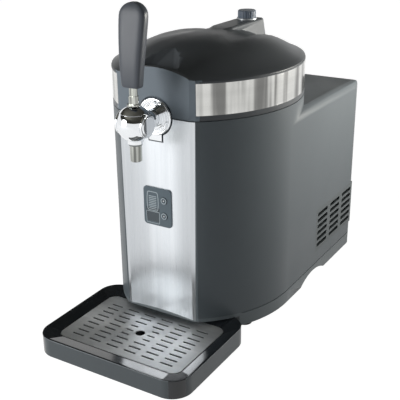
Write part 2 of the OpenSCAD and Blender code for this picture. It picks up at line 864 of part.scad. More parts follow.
// Finger scoop behind the visor: a ramp that falls to a groove for the finger tips.
module scoop(grow) {
    deep = visor_t - facet_y + 5;
    hull() {
        for (s = [-1, 1]) {
            translate([s * (scoop_w - 12), deep, visor_z - 8]) sphere(5 + grow, $fn = 32);
            translate([s * (scoop_w - 4), deep + 1, visor_z + 4]) sphere(5 + grow, $fn = 32);
            translate([s * 12, deep + scoop_l - 14, visor_z + 20]) sphere(6 + grow, $fn = 32);
        }
        translate([0, deep + scoop_l - 7, visor_z + 18]) sphere(6 + grow, $fn = 32);
    }
}

module lid_cover() {
    color("#3f4346") difference() {
        union() {
            translate([0, 0, lid_z]) linear_extrude(lid_wall_z - lid_z) lid_plan();
            crown(0);
            ridge(0);
            visor();
            for (s = [-1, 1]) lid_knuckle(s);
        }
        difference() {
            union() {
                translate([0, 0, lid_z - 1]) linear_extrude(lid_wall_z - lid_z - 3)
                    lid_plan(lid_wall);
                crown(lid_wall);
                y_bar(ridge_w - 4, 6, ridge_back - 5, 0, cart_z);
            }
            scoop(3);
            // Solid behind the tap opening.
            block([-block_w, -facet_y, lid_z], [block_w, -block_y - 4, lid_z + flange_r + 6]);
        }
        scoop(0);
        band_zone(sheet + 0.1);
        // Half round opening for the flange and the shank.
        translate([0, -seat_y + 0.6, 0]) rotate([90, 0, 0]) linear_extrude(20) tap_opening(1.8);
        y_bar(shank_d / 2 + 1.2, -facet_y, -block_y + 4, 0, tap_z);
        // Hole for the knob's spindle.
        translate([0, knob_y, 300]) cylinder(h = 120, r = 5);
        for (s = [-1, 1]) x_bar(pin_d / 2 + run_fit, s * 38 - 7, s * 38 + 7, hinge_y, hinge_z);
    }
}

// Ring groove that takes the steel band.
module band_zone(depth) {
    translate([0, 0, band_low_z]) linear_extrude(band_top_z - band_low_z) difference() {
        lid_plan(-1);
        lid_plan(depth);
        translate([-band_w, -far]) square([2 * band_w, far]);
    }
}

// Knuckle that joins the lid to the hinge pin.
module lid_knuckle(s) {
    x_bar(5.5, s * 38 - 4.7, s * 38 + 4.7, hinge_y, hinge_z);
    block([s * 38 - 4.7, hinge_y - 5.5, hinge_z], [s * 38 + 4.7, hinge_y + 5.5, lid_z + 10]);
    block([s * 38 - 4.7, knuckle_y, lid_z + 1], [s * 38 + 4.7, hinge_y + 5.5, lid_z + 10]);
}

module lid_band() {
    color("#c9cccf") translate([0, 0, band_low_z]) linear_extrude(band_top_z - band_low_z)
        difference() {
            lid_plan(0.1);
            lid_plan(sheet + 0.1);
            translate([-band_w, -far]) square([2 * band_w, far]);
        }
}

module lid_liner() {
    color("#d9dbd8") difference() {
        union() {
            translate([0, 0, lid_z + 2]) linear_extrude(3) lid_plan(lid_wall);
            translate([0, 0, lid_z + 2]) cylinder(h = 26, r = 30);
            block([-20, -block_y - 4, lid_z + 2], [20, 0, lid_z + 17]);
            for (y = [34, 78]) block([-9, y - 3, lid_z + 4], [9, y + 3, cart_z - 2]);
            translate([0, knob_y, lid_z + 4]) cylinder(h = tower_z - lid_z - 4, r = 10);
        }
        translate([0, 0, lid_z]) cylinder(h = 25, r = 27);
        block([-17, -block_y - 5, lid_z], [17, 0, lid_z + 14]);
        block([-block_w - 0.01, -facet_y, lid_z], [block_w + 0.01, -block_y - 4, lid_z + 30]);
        y_bar(11, 10, 90, 0, cart_z);
    }
}

module lid_seal() {
    color("#6d7072") translate([0, 0, rim_z + 0.1]) difference() {
        cylinder(h = lid_z + 2 - rim_z - 0.1, r = chamber_lip + 8);
        translate([0, 0, -1]) cylinder(h = 8, r = chamber_lip + 3);
        block([-block_w + 10, -far, -1], [block_w - 10, 0, 10]);
    }
}

module hinge_pin() {
    color("#b4b8ba") {
        x_bar(pin_d / 2, -55, 55, hinge_y, hinge_z);
        for (s = [-1, 1]) x_bar(pin_d / 2 + 1.4, min(s * 53, s * 55), max(s * 53, s * 55),
            hinge_y, hinge_z);
    }
}

module knob() {
    color("#6c7784") difference() {
        union() {
            translate([0, knob_y, ridge_z + 2]) cylinder(h = knob_h - 1.2, r = knob_d / 2);
            translate([0, knob_y, ridge_z + 0.8 + knob_h])
                cylinder(h = 1.2, r1 = knob_d / 2, r2 = knob_d / 2 - 1.2);
            translate([0, knob_y, ridge_z - 12]) cylinder(h = 15, r = 3.5);
        }
        for (a = [0:20:340]) translate([0, knob_y, ridge_z + 3]) rotate([0, 0, a])
            translate([knob_d / 2 + 0.6, 0, 0]) cylinder(h = knob_h + 2, r = 1.2, $fn = 24);
    }
}

module knob_collar() {
    color("#b9c0c4") translate([0, knob_y, ridge_z]) difference() {
        cylinder(h = 1.7, r = knob_d / 2 + 1.5);
        translate([0, 0, -1]) cylinder(h = 6, r = 5);
    }
}

module regulator() {
    color("#b98f45") difference() {
        union() {
            translate([0, knob_y, tower_z]) cylinder(h = ridge_z - 7.5 - tower_z, r = 7.4);
            translate([0, knob_y, tower_z]) cylinder(h = 8, r = 9);
            y_bar(6, 96, knob_y, 0, cart_z);
        }
        translate([0, knob_y, ridge_z - 14]) cylinder(h = 20, r = 3.5 + run_fit);
    }
}

module gas_cartridge() {
    color("#9aa0a4") {
        y_bar(11, 20, 80, 0, cart_z);
        translate([0, 20, cart_z]) sphere(11);
        translate([0, 80, cart_z]) sphere(11);
        y_bar(4, 88, 96, 0, cart_z);
    }
}

module tap_flange() {
    color("#d4d7da") difference() {
        union() {
            translate([0, -seat_y, 0]) rotate([90, 0, 0]) linear_extrude(4.2)
                union() {
                    translate([0, tap_z]) circle(flange_r);
                    translate([-tab_w, tab_z]) square([2 * tab_w, 14]);
                }
            y_bar(flange_r - 3, -seat_y - 6, -seat_y - 4, 0, tap_z);
            y_bar(15.5, -seat_y - 9, -seat_y - 5, 0, tap_z);
        }
        y_bar(shank_d / 2, -seat_y - 10, -seat_y + 1, 0, tap_z);
        difference() {
            y_bar(flange_r - 5, -seat_y - 7, -seat_y - 4.8, 0, tap_z);
            y_bar(flange_r - 6.8, -seat_y - 8, -seat_y - 3, 0, tap_z);
        }
    }
}

module tap_shank() {
    color("#c3c7ca") difference() {
        union() {
            y_bar(shank_d / 2, -ball_y + 18, -12, 0, tap_z);
            y_bar(13, -ball_y + 18, -seat_y - 9, 0, tap_z);
        }
        y_bar(shank_bore / 2, -ball_y, -11, 0, tap_z);
        translate([0, -ball_y, ball_z]) sphere(ball_r, $fn = 64);
    }
}

module tap_body() {
    color("#d4d7da") difference() {
        union() {
            intersection() {
                translate([0, -ball_y, ball_z]) sphere(ball_r, $fn = 64);
                block([-cap_x, -far, 0], [cap_x, 0, bonnet_z]);
            }
            translate([0, -ball_y, ball_z - ball_r - 2]) cylinder(h = 12, r = 9.5);
        }
        translate([0, -ball_y, ball_z]) sphere(ball_r - 3, $fn = 64);
        translate([0, -ball_y, ball_z - ball_r - 3]) cylinder(h = 14, r = spout_d / 2 - 2.5);
        y_bar(shank_bore / 2, -ball_y, -ball_y + 30, 0, tap_z);
        x_bar(pivot_d / 2, -cap_x - 1, cap_x + 1, -ball_y, ball_z);
    }
}

module tap_bonnet() {
    color("#c8ccce") difference() {
        intersection() {
            translate([0, -ball_y, ball_z]) sphere(ball_r, $fn = 64);
            block([-cap_x, -far, bonnet_z], [cap_x, 0, far]);
        }
        translate([0, -ball_y, ball_z]) sphere(ball_r - 3, $fn = 64);
        // Slot for the stem's swing.
        translate([0, -ball_y, 300]) cylinder(h = 60, r = 4.6);
        block([-4.6, -ball_y - 24, 300], [4.6, -ball_y, 360]);
    }
}

module tap_end_caps() {
    color("#d4d7da") for (s = [-1, 1]) {
        x_bar(14.5, min(s * cap_x, s * (cap_x + 2.6)), max(s * cap_x, s * (cap_x + 2.6)),
            -ball_y, ball_z);
        x_bar(11.5, min(s * cap_x, s * (cap_x + 3.8)), max(s * cap_x, s * (cap_x + 3.8)),
            -ball_y, ball_z);
    }
}

module pivot_pin() {
    color("#9a9ea1") x_bar(pivot_d / 2, -cap_x, cap_x, -ball_y, ball_z);
}

module spout() {
    color("#d4d7da") translate([0, -ball_y, spout_z]) difference() {
        union() {
            cylinder(h = ball_z - ball_r - 2 - spout_z, r = spout_d / 2);
            cylinder(h = 29, r = spout_d / 2 - 2.5);
            translate([0, 0, ball_z - ball_r - 4.5 - spout_z]) cylinder(h = 2.5, r = spout_d / 2 + 1);
        }
        translate([0, 0, -1]) cylinder(h = 40, r = spout_d / 2 - 4);
    }
}

module riser_head() {
    color("#b5babd") difference() {
        union() {
            translate([0, 0, 293]) cylinder(h = 27, r = 12.5);
            translate([0, 0, 293]) cylinder(h = 3, r = 16);
        }
        translate([0, 0, 290]) cylinder(h = 26, r = 3.2);
        y_bar(shank_bore / 2, -20, 0, 0, tap_z);
        y_bar(shank_d / 2, -20, -12, 0, tap_z);
    }
}

module dip_tube() {
    color("#d9dcde") translate([0, 0, 58]) difference() {
        cylinder(h = 293 - 58, r = 4);
        translate([0, 0, -1]) cylinder(h = 240, r = 3.2);
    }
}

module keg_seal() {
    color("#4a4c4e") translate([0, 0, 283]) difference() {
        cylinder(h = 10, r1 = 11, r2 = 13);
        translate([0, 0, -1]) cylinder(h = 12, r = 4);
    }
}

// Hub on the pivot pin with the nose that drives the plunger.
module lever_hub() {
    color("#8f9497") translate([0, -ball_y, ball_z]) difference() {
        union() {
            x_bar(8, -5, 5);
            rotate([-60, 0, 0]) {
                x_bar(2.2, -3, 3, 9.2, 0);
                block([-3, 4, -2.2], [3, 9.2, 2.2]);
            }
        }
        x_bar(pivot_d / 2 + run_fit, -6, 6);
        cylinder(h = 12, r = 2.5);
    }
}

module lever_stem() {
    color("#d4d7da") {
        translate([0, -ball_y, ball_z]) difference() {
            cylinder(h = handle_low + 14 - ball_z, r = 3.9);
            x_bar(8, -6, 6);
        }
        translate([0, -ball_y, ball_z + 6.5]) cylinder(h = 4, r = 2.5);
        translate([0, -ball_y, 329.6]) cylinder(h = 1.6, r = 8.5);
        translate([0, -ball_y, 331]) cylinder(h = 10, r = 7.6, $fn = 6);
        translate([0, -ball_y, 341]) cylinder(h = handle_low - 341, r = 6.4, $fn = 6);
    }
}

// Centre line of the handle in side view.
function handle_mid(t) = -ball_y - 1.5 + handle_lean * 1.15 * t * t * (1.6 - 0.6 * t);

// Share of full size where the handle rounds off at its foot and its top.
function handle_end(t) = t < 0.03 ? 0.9 + 0.1 * sin(3000 * t)
    : (t > 0.84 ? sqrt(max(0, 1 - pow((t - 0.84) / 0.16, 2))) : 1);

// Half width of the handle along its length.
function handle_wide(t) = handle_end(t) * (handle_foot_w
    + (handle_w - handle_foot_w) * (t < 0.8 ? 1 - pow(1 - t / 0.8, 1.35) : 1)) / 2;

// Half thickness of the handle along its length.
function handle_thick(t) = handle_t / 2 * (0.35 + 0.65 * handle_end(t))
    * (0.94 + 0.06 * sin(180 * t));

// Shares of the handle's length at which its rounded section is set.
handle_rings = [0, 0.012, 0.03, 0.1, 0.2, 0.3, 0.4, 0.5, 0.6, 0.7, 0.78, 0.84, 0.88, 0.91,
    0.94, 0.965, 0.985, 0.997];
handle_n = 32;

// Point of the handle's rounded section at the share t of its length.
function handle_point(t, a) = let(c = cos(a), s = sin(a))
    [handle_wide(t) * sign(c) * pow(abs(c), 0.5),
        handle_mid(t) + handle_thick(t) * sign(s) * pow(abs(s), 0.5),
        handle_low + t * (handle_top - handle_low)];

module lever_handle() {
    m = len(handle_rings) - 1;
    color("#5e6367") difference() {
        polyhedron(
            points = [for (j = [0:m], i = [0:handle_n - 1])
                handle_point(handle_rings[j], i * 360 / handle_n)],
            faces = concat(
                [[for (i = [0:handle_n - 1]) i]],
                [for (j = [0:m - 1], i = [0:handle_n - 1]) let(a = j * handle_n,
                    k = (i + 1) % handle_n) [a + i, a + handle_n + i, a + k]],
                [for (j = [0:m - 1], i = [0:handle_n - 1]) let(a = j * handle_n,
                    k = (i + 1) % handle_n) [a + k, a + handle_n + i, a + handle_n + k]],
                [[for (i = [handle_n - 1:-1:0]) m * handle_n + i]]));
        translate([0, -ball_y, handle_low - 1]) cylinder(h = 15, r = 3.9);
    }
}

module tap_plunger() {
    color("#a9adb0") {
        y_bar(plunger_d / 2 - 1.4, -ball_y + 8.4, -90, 0, tap_z);
        y_bar(plunger_d / 2, -120, -100, 0, tap_z);
    }
}

// Plan of the drip tray, grown or shrunk.
module tray_plan(inset) {
    translate([0, -(tray_front + tray_back) / 2])
        round_rect(2 * (tray_w - inset), tray_front - tray_back - 2 * inset, tray_r - inset);
}

module drip_tray() {
    color("#4f565a") difference() {
        union() {
            translate([0, 0, 0.5]) linear_extrude(tray_h - 0.5) tray_plan(0);
            block([-30, -tray_back - 4, 4], [30, -tray_back + 110, base_z - 0.3]);
        }
        // Sloping rim down to the grille's seat.
        hull() {
            translate([0, 0, tray_h]) linear_extrude(1) tray_plan(4);
            translate([0, -grille_y, grille_z]) linear_extrude(0.1)
                round_rect(2 * grille_w + 4, 2 * grille_l + 4, 14);
        }
        translate([0, -grille_y, grille_z - grille_t]) linear_extrude(10)
            round_rect(2 * grille_w + 1, 2 * grille_l + 1, 12.5);
        translate([0, -grille_y, 4]) linear_extrude(40)
            round_rect(2 * grille_w - 10, 2 * grille_l - 10, 8);
        // Hollow underside.
        translate([0, 0, -1]) linear_extrude(3) difference() {
            tray_plan(2.5);
            tray_plan(8);
        }
    }
}

module drip_grille() {
    color("#c4c8cb") difference() {
        translate([0, -grille_y, grille_z - grille_t]) linear_extrude(grille_t)
            round_rect(2 * grille_w, 2 * grille_l, 12);
        for (c = [0:5], r = [0:8]) let(x = (c - 2.5) * slot_px, y = -185 + (r - 4) * slot_py,
            short = (c == 2 || c == 3) && r >= 3 && r <= 5)
            translate([x + (short ? (c == 2 ? -3 : 3) : 0), y, grille_z - 3]) linear_extrude(6)
                round_rect(short ? 12 : 19, 3, 1.49);
        translate([0, -185, grille_z - 3]) cylinder(h = 6, r = 6.5);
    }
}

housing();
base();
feet();
front_panel();
chamber();
insulation();
bulkhead();
cold_block();
peltier();
heat_sink();
fan_frame();
fan_rotor();
power_board();
power_parts();
mains_inlet();
rear_grille();
rear_screws();
side_vents();
control_plate();
display_window();
control_board();
button_upper();
button_lower();
lid_cover();
lid_band();
lid_liner();
lid_seal();
hinge_pin();
knob();
knob_collar();
regulator();
gas_cartridge();
tap_flange();
tap_shank();
tap_body();
tap_bonnet();
tap_end_caps();
pivot_pin();
spout();
riser_head();
dip_tube();
keg_seal();
lever_hub();
lever_stem();
lever_handle();
tap_plunger();
drip_tray();
drip_grille();
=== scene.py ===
"""Looks of a mini keg beer dispenser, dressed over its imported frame.

Sizes are in millimetres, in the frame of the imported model: +Z up, the tap and the drip
tray at -Y, the origin on the keg axis at table level. Only the studio's floor, ceiling
and lamps are in metres.
"""

from __future__ import annotations

import json
import logging
import math
from dataclasses import dataclass
from enum import Enum
from typing import Callable, ClassVar, Sequence

import bmesh
import bpy
from mathutils import Matrix, Vector

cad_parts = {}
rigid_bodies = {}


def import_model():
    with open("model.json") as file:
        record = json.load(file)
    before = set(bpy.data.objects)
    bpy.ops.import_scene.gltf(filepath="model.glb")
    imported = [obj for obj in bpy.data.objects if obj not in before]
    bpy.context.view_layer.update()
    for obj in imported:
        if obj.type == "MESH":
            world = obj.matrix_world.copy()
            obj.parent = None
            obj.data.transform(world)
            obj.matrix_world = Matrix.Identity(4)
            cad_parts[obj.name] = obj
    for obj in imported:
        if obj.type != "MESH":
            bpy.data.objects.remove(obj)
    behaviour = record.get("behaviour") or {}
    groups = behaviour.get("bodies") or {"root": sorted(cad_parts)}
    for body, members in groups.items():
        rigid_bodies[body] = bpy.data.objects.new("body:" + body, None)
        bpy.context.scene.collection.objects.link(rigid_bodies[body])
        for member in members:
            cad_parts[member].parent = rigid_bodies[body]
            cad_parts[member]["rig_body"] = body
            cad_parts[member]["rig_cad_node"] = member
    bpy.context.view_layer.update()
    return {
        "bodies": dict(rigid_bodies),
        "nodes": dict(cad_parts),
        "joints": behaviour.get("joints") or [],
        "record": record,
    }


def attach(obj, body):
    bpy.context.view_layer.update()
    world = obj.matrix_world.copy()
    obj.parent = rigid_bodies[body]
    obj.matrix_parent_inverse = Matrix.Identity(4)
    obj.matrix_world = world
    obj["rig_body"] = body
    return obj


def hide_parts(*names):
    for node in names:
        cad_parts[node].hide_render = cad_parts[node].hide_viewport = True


LOG = logging.getLogger("keg_dispenser")
MM = 0.001
IMAGE_SIDE_PX = 400.0
SENSOR_MM = 36.0
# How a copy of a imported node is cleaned: corners nearer than this are one, and faces
# that meet flatter than this are one; edges sharper than the crease stay sharp.
WELD_MM = 0.02
FLAT_DEG = 0.8
CREASE_DEG = 32.0
# Corners of a new piece that are nearer than this are one.
TOUCH_MM = 0.01

Point = tuple[float, float, float]
Station = tuple[float, float]


def linear(hex_colour: str) -> tuple[float, float, float, float]:
    """Turn an sRGB hex colour into the linear colour that shaders use.

    Args:
        hex_colour: Six hex digits, with or without a leading hash.

    Returns:
        Linear red, green and blue, with an alpha of 1.
    """
    digits = hex_colour.lstrip("#")
    parts = [int(digits[i : i + 2], 16) / 255 for i in (0, 2, 4)]
    r, g, b = (c / 12.92 if c <= 0.04045 else ((c + 0.055) / 1.055) ** 2.4 for c in parts)
    return (r, g, b, 1.0)


def add_node(
    tree: bpy.types.NodeTree,
    kind: str,
    settings: dict | None = None,
    links: dict | None = None,
) -> bpy.types.Node:
    """Add one shader node with its settings and its links.

    Args:
        tree: The node tree that gets the node.
        kind: Blender's name of the node type.
        settings: Values by name, of the node's own properties or of its sockets.
        links: The output sockets that feed this node, by input name or index.

    Returns:
        The new node.
    """
    node = tree.nodes.new(kind)
    for key, value in (settings or {}).items():
        if isinstance(key, str) and hasattr(node, key):
            setattr(node, key, value)
        else:
            node.inputs[key].default_value = value
    for key, output in (links or {}).items():
        tree.links.new(output, node.inputs[key])
    return node


def blank_material(name: str) -> bpy.types.Material:
    """Make a material whose node tree is still empty."""
    made = bpy.data.materials.new(name)
    made.use_nodes = True
    made.node_tree.nodes.clear()
    return made


def noise(
    tree: bpy.types.NodeTree,
    where: bpy.types.NodeSocket,
    size_mm: float,
    detail: float,
    roughness: float,
) -> bpy.types.NodeSocket:
    """Add noise of a real size.

    Args:
        tree: The node tree.
        where: Coordinates in metres.
        size_mm: Size of one swell of the noise.
        detail: How many finer octaves are added.
        roughness: How strong each finer octave is.

    Returns:
        The noise, from 0 to 1.
    """
    return add_node(
        tree,
        "ShaderNodeTexNoise",
        {"Scale": 1 / (size_mm * MM), "Detail": detail, "Roughness": roughness},
        {"Vector": where},
    ).outputs["Fac"]


def blend(
    tree: bpy.types.NodeTree, low: str, high: str, factor: bpy.types.NodeSocket
) -> bpy.types.NodeSocket:
    """Blend two sRGB hex colours, low where the factor is 0 and high where it is 1."""
    return add_node(
        tree,
        "ShaderNodeMix",
        {"data_type": "RGBA", 6: linear(low), 7: linear(high)},
        {0: factor},
    ).outputs[2]


def ramp(
    tree: bpy.types.NodeTree,
    value: bpy.types.NodeSocket,
    seen: tuple[float, float],
    given: tuple[float, float] = (0.0, 1.0),
    interpolation: str = "LINEAR",
) -> bpy.types.NodeSocket:
    """Map one range onto another, without going past its ends.

    Args:
        tree: The node tree.
        value: The value to map.
        seen: The range that the value is seen in.
        given: The range that it is mapped onto.
        interpolation: Blender's name of the curve between the ends.

    Returns:
        The mapped value.
    """
    return add_node(
        tree,
        "ShaderNodeMapRange",
        {"interpolation_type": interpolation, "From Min": seen[0], "From Max": seen[1],
         "To Min": given[0], "To Max": given[1]},
        {"Value": value},
    ).outputs["Result"]


def object_coordinates(tree: bpy.types.NodeTree) -> bpy.types.NodeSocket:
    """Give the piece's own coordinates, in metres."""
    return add_node(tree, "ShaderNodeTexCoord").outputs["Object"]


class Axis(Enum):
    """Direction that a turned or pulled piece grows in."""

    Y = Vector((0, 1, 0))
    Z = Vector((0, 0, 1))

    def turn(self) -> tuple[float, float, float]:
        """Rotation that lays a flat ring square to this axis."""
        return (-math.pi / 2, 0, 0) if self is Axis.Y else (0, 0, 0)


class Grain(Enum):
    """Direction of a sheet's brush lines, as stretch factors of its pattern."""

    UPRIGHT = (1.0, 1.0, 0.012)
    ACROSS = (0.012, 1.0, 1.0)
    ROUND = (0.012, 0.012, 1.0)


# ---------------------------------------------------------------- finishes


@dataclass(frozen=True)
class Finish:
    """One real material with its surface treatment."""

    name: str

    _made: ClassVar[dict[str, bpy.types.Material]] = {}

    def material(self) -> bpy.types.Material:
        """Build the material once and give it out from then on."""
        if self.name not in Finish._made:
            made = blank_material(self.name)
            self.build(made.node_tree)
            Finish._made[self.name] = made
        return Finish._made[self.name]

    def build(self, tree: bpy.types.NodeTree) -> None:
        """Fill the node tree; each kind of finish has its own."""
        raise NotImplementedError

    @staticmethod
    def surface(
        tree: bpy.types.NodeTree,
        settings: dict,
        links: dict,
        height: bpy.types.NodeSocket,
        relief_mm: float,
        strength: float = 0.5,
    ) -> None:
        """End the tree with its relief, its shader and its output.

        Args:
            tree: The node tree.
            settings: Values of the shader's sockets.
            links: Outputs that feed the shader's sockets.
            height: The pattern that stands up from the surface.
            relief_mm: How high it stands.
            strength: Share of the relief that shows.
        """
        bump = add_node(
            tree,
            "ShaderNodeBump",
            {"Strength": strength, "Distance": relief_mm * MM},
            {"Height": height},
        )
        shader = add_node(
            tree,
            "ShaderNodeBsdfPrincipled",
            settings,
            {**links, "Normal": bump.outputs["Normal"]},
        )
        add_node(tree, "ShaderNodeOutputMaterial", {}, {"Surface": shader.outputs["BSDF"]})


@dataclass(frozen=True)
class Moulded(Finish):
    """Injection moulded plastic or rubber.

    A spark eroded mould leaves a fine even grain, and the flow of the melt leaves slow,
    faint changes of tone. Both are drawn here, the grain a little coarser than life.
    """

    colour: str = "#50585C"
    shade: str = "#474F53"
    roughness: float = 0.45
    spread: float = 0.06
    grain_mm: float = 0.9
    relief_mm: float = 0.02
    cloud_mm: ClassVar[float] = 55.0
    coat: float = 0.0
    gleam: float = 0.32

    def build(self, tree: bpy.types.NodeTree) -> None:
        """Fill the tree with the tone, gloss and grain of a moulded surface."""
        where = object_coordinates(tree)
        cloud = noise(tree, where, self.cloud_mm, 3.0, 0.55)
        tone = blend(tree, self.shade, self.colour, cloud)
        grain = noise(tree, where, self.grain_mm, 2.0, 0.6)
        gloss = ramp(
            tree, cloud, (0.3, 0.7), (self.roughness - self.spread, self.roughness + self.spread)
        )
        self.surface(
            tree,
            {"Coat Weight": self.coat, "Coat Roughness": 0.12, "Specular IOR Level": self.gleam},
            {"Base Color": tone, "Roughness": gloss},
            grain,
            self.relief_mm,
        )


@dataclass(frozen=True)
class Brushed(Finish):
    """Sheet metal with brush lines in one direction.

    Each brush line catches the light a little differently, so the sheet shows fine
    streaks along its grain and a wide soft glow across it. Slow upright strips of
    painted reflection darken the colour in places.
    """

    colour: str = "#C9CBCC"
    shade: str = "#A9ACAE"
    roughness: float = 0.28
    line_mm: float = 0.8
    relief_mm: float = 0.012
    grain: Grain = Grain.UPRIGHT
    anisotropy: float = 0.55
    # Painted reflection: soft upright strips that darken the colour, by size, darkest share and
    # tilt.
    reflection_strip_mm: float = 60.0
    reflection_strip_low: float = 0.9
    reflection_strip_tilt: float = 0.0
    wide_lines: ClassVar[int] = 12

    def painted_reflection_strips(
        self, tree: bpy.types.NodeTree, where: bpy.types.NodeSocket
    ) -> bpy.types.NodeSocket:
        """Give slow, soft upright strips of darker tone: painted reflections of a room.

        Args:
            tree: The node tree.
            where: The object's own coordinates.

        Returns:
            A factor from reflection_strip_low to 1.
        """
        strips = add_node(
            tree,
            "ShaderNodeMapping",
            {"Scale": (1.0, 1.0, 0.04), "Rotation": (0.0, math.radians(self.reflection_strip_tilt), 0.0)},
            {"Vector": where},
        )
        slow = noise(tree, strips.outputs["Vector"], self.reflection_strip_mm, 2.5, 0.5)
        return ramp(tree, slow, (0.36, 0.6), (self.reflection_strip_low, 1.0), "SMOOTHSTEP")

    def build(self, tree: bpy.types.NodeTree) -> None:
        """Fill the tree with brush lines at two scales over a bright metal."""
        where = object_coordinates(tree)
        stretched = add_node(
            tree, "ShaderNodeMapping", {"Scale": self.grain.value}, {"Vector": where}
        ).outputs["Vector"]
        fine = noise(tree, stretched, self.line_mm, 4.0, 0.65)
        wide = noise(tree, stretched, self.line_mm * self.wide_lines, 2.0, 0.5)
        both = add_node(
            tree,
            "ShaderNodeMath",
            {"operation": "MULTIPLY_ADD", 1: 0.65},
            {0: fine, 2: wide},
        )
        tone = ramp(tree, both.outputs["Value"], (0.55, 1.1))
        # The brush tone, darkened by the painted reflection strips.
        colour = add_node(
            tree,
            "ShaderNodeMix",
            {"data_type": "RGBA", "blend_type": "MULTIPLY", 0: 1.0},
            {6: blend(tree, self.shade, self.colour, tone), 7: self.painted_reflection_strips(tree, where)},
        )
        gloss = ramp(tree, fine, (0.3, 0.7), (self.roughness - 0.05, self.roughness + 0.07))
        self.surface(
            tree,
            {"Metallic": 1.0, "Anisotropic": self.anisotropy},
            {"Base Color": colour.outputs[2], "Roughness": gloss},
            fine,
            self.relief_mm,
        )


@dataclass(frozen=True)
class Plated(Finish):
    """Polished, plated or machined metal.

    Plating over a cast body is never quite flat: its reflections swim a little, and
    wiping leaves faint changes of gloss.
    """

    colour: str = "#D9DBDD"
    shade: str = "#C4C7CA"
    roughness: float = 0.05
    spread: float = 0.04
    swim_mm: float = 9.0
    relief_mm: float = 0.03
    wipe_mm: ClassVar[float] = 2.2

    def build(self, tree: bpy.types.NodeTree) -> None:
        """Fill the tree with a mirror-like metal that has slow ripples and wipe marks."""
        where = object_coordinates(tree)
        swim = noise(tree, where, self.swim_mm, 1.0, 0.4)
        wipe = noise(tree, where, self.wipe_mm, 4.0, 0.6)
        gloss = ramp(tree, wipe, (0.35, 0.7), (self.roughness, self.roughness + self.spread))
        self.surface(
            tree,
            {"Metallic": 1.0},
            {"Base Color": blend(tree, self.shade, self.colour, wipe), "Roughness": gloss},
            swim,
            self.relief_mm,
            0.4,
        )


@dataclass(frozen=True)
class Cast(Finish):
    """Foam, fired ceramic or lacquered board: a dull body with cells or specks."""

    colour: str = "#E6DFC6"
    shade: str = "#CFC6A8"
    roughness: float = 0.8
    cell_mm: float = 2.5
    relief_mm: float = 0.25

    def build(self, tree: bpy.types.NodeTree) -> None:
        """Fill the tree with round cells that vary tone and relief."""
        cells = add_node(
            tree,
            "ShaderNodeTexVoronoi",
            {"Scale": 1 / (self.cell_mm * MM)},
            {"Vector": object_coordinates(tree)},
        ).outputs["Distance"]
        self.surface(
            tree,
            {"Roughness": self.roughness},
            {"Base Color": blend(tree, self.colour, self.shade, cells)},
            cells,
            self.relief_mm,
        )


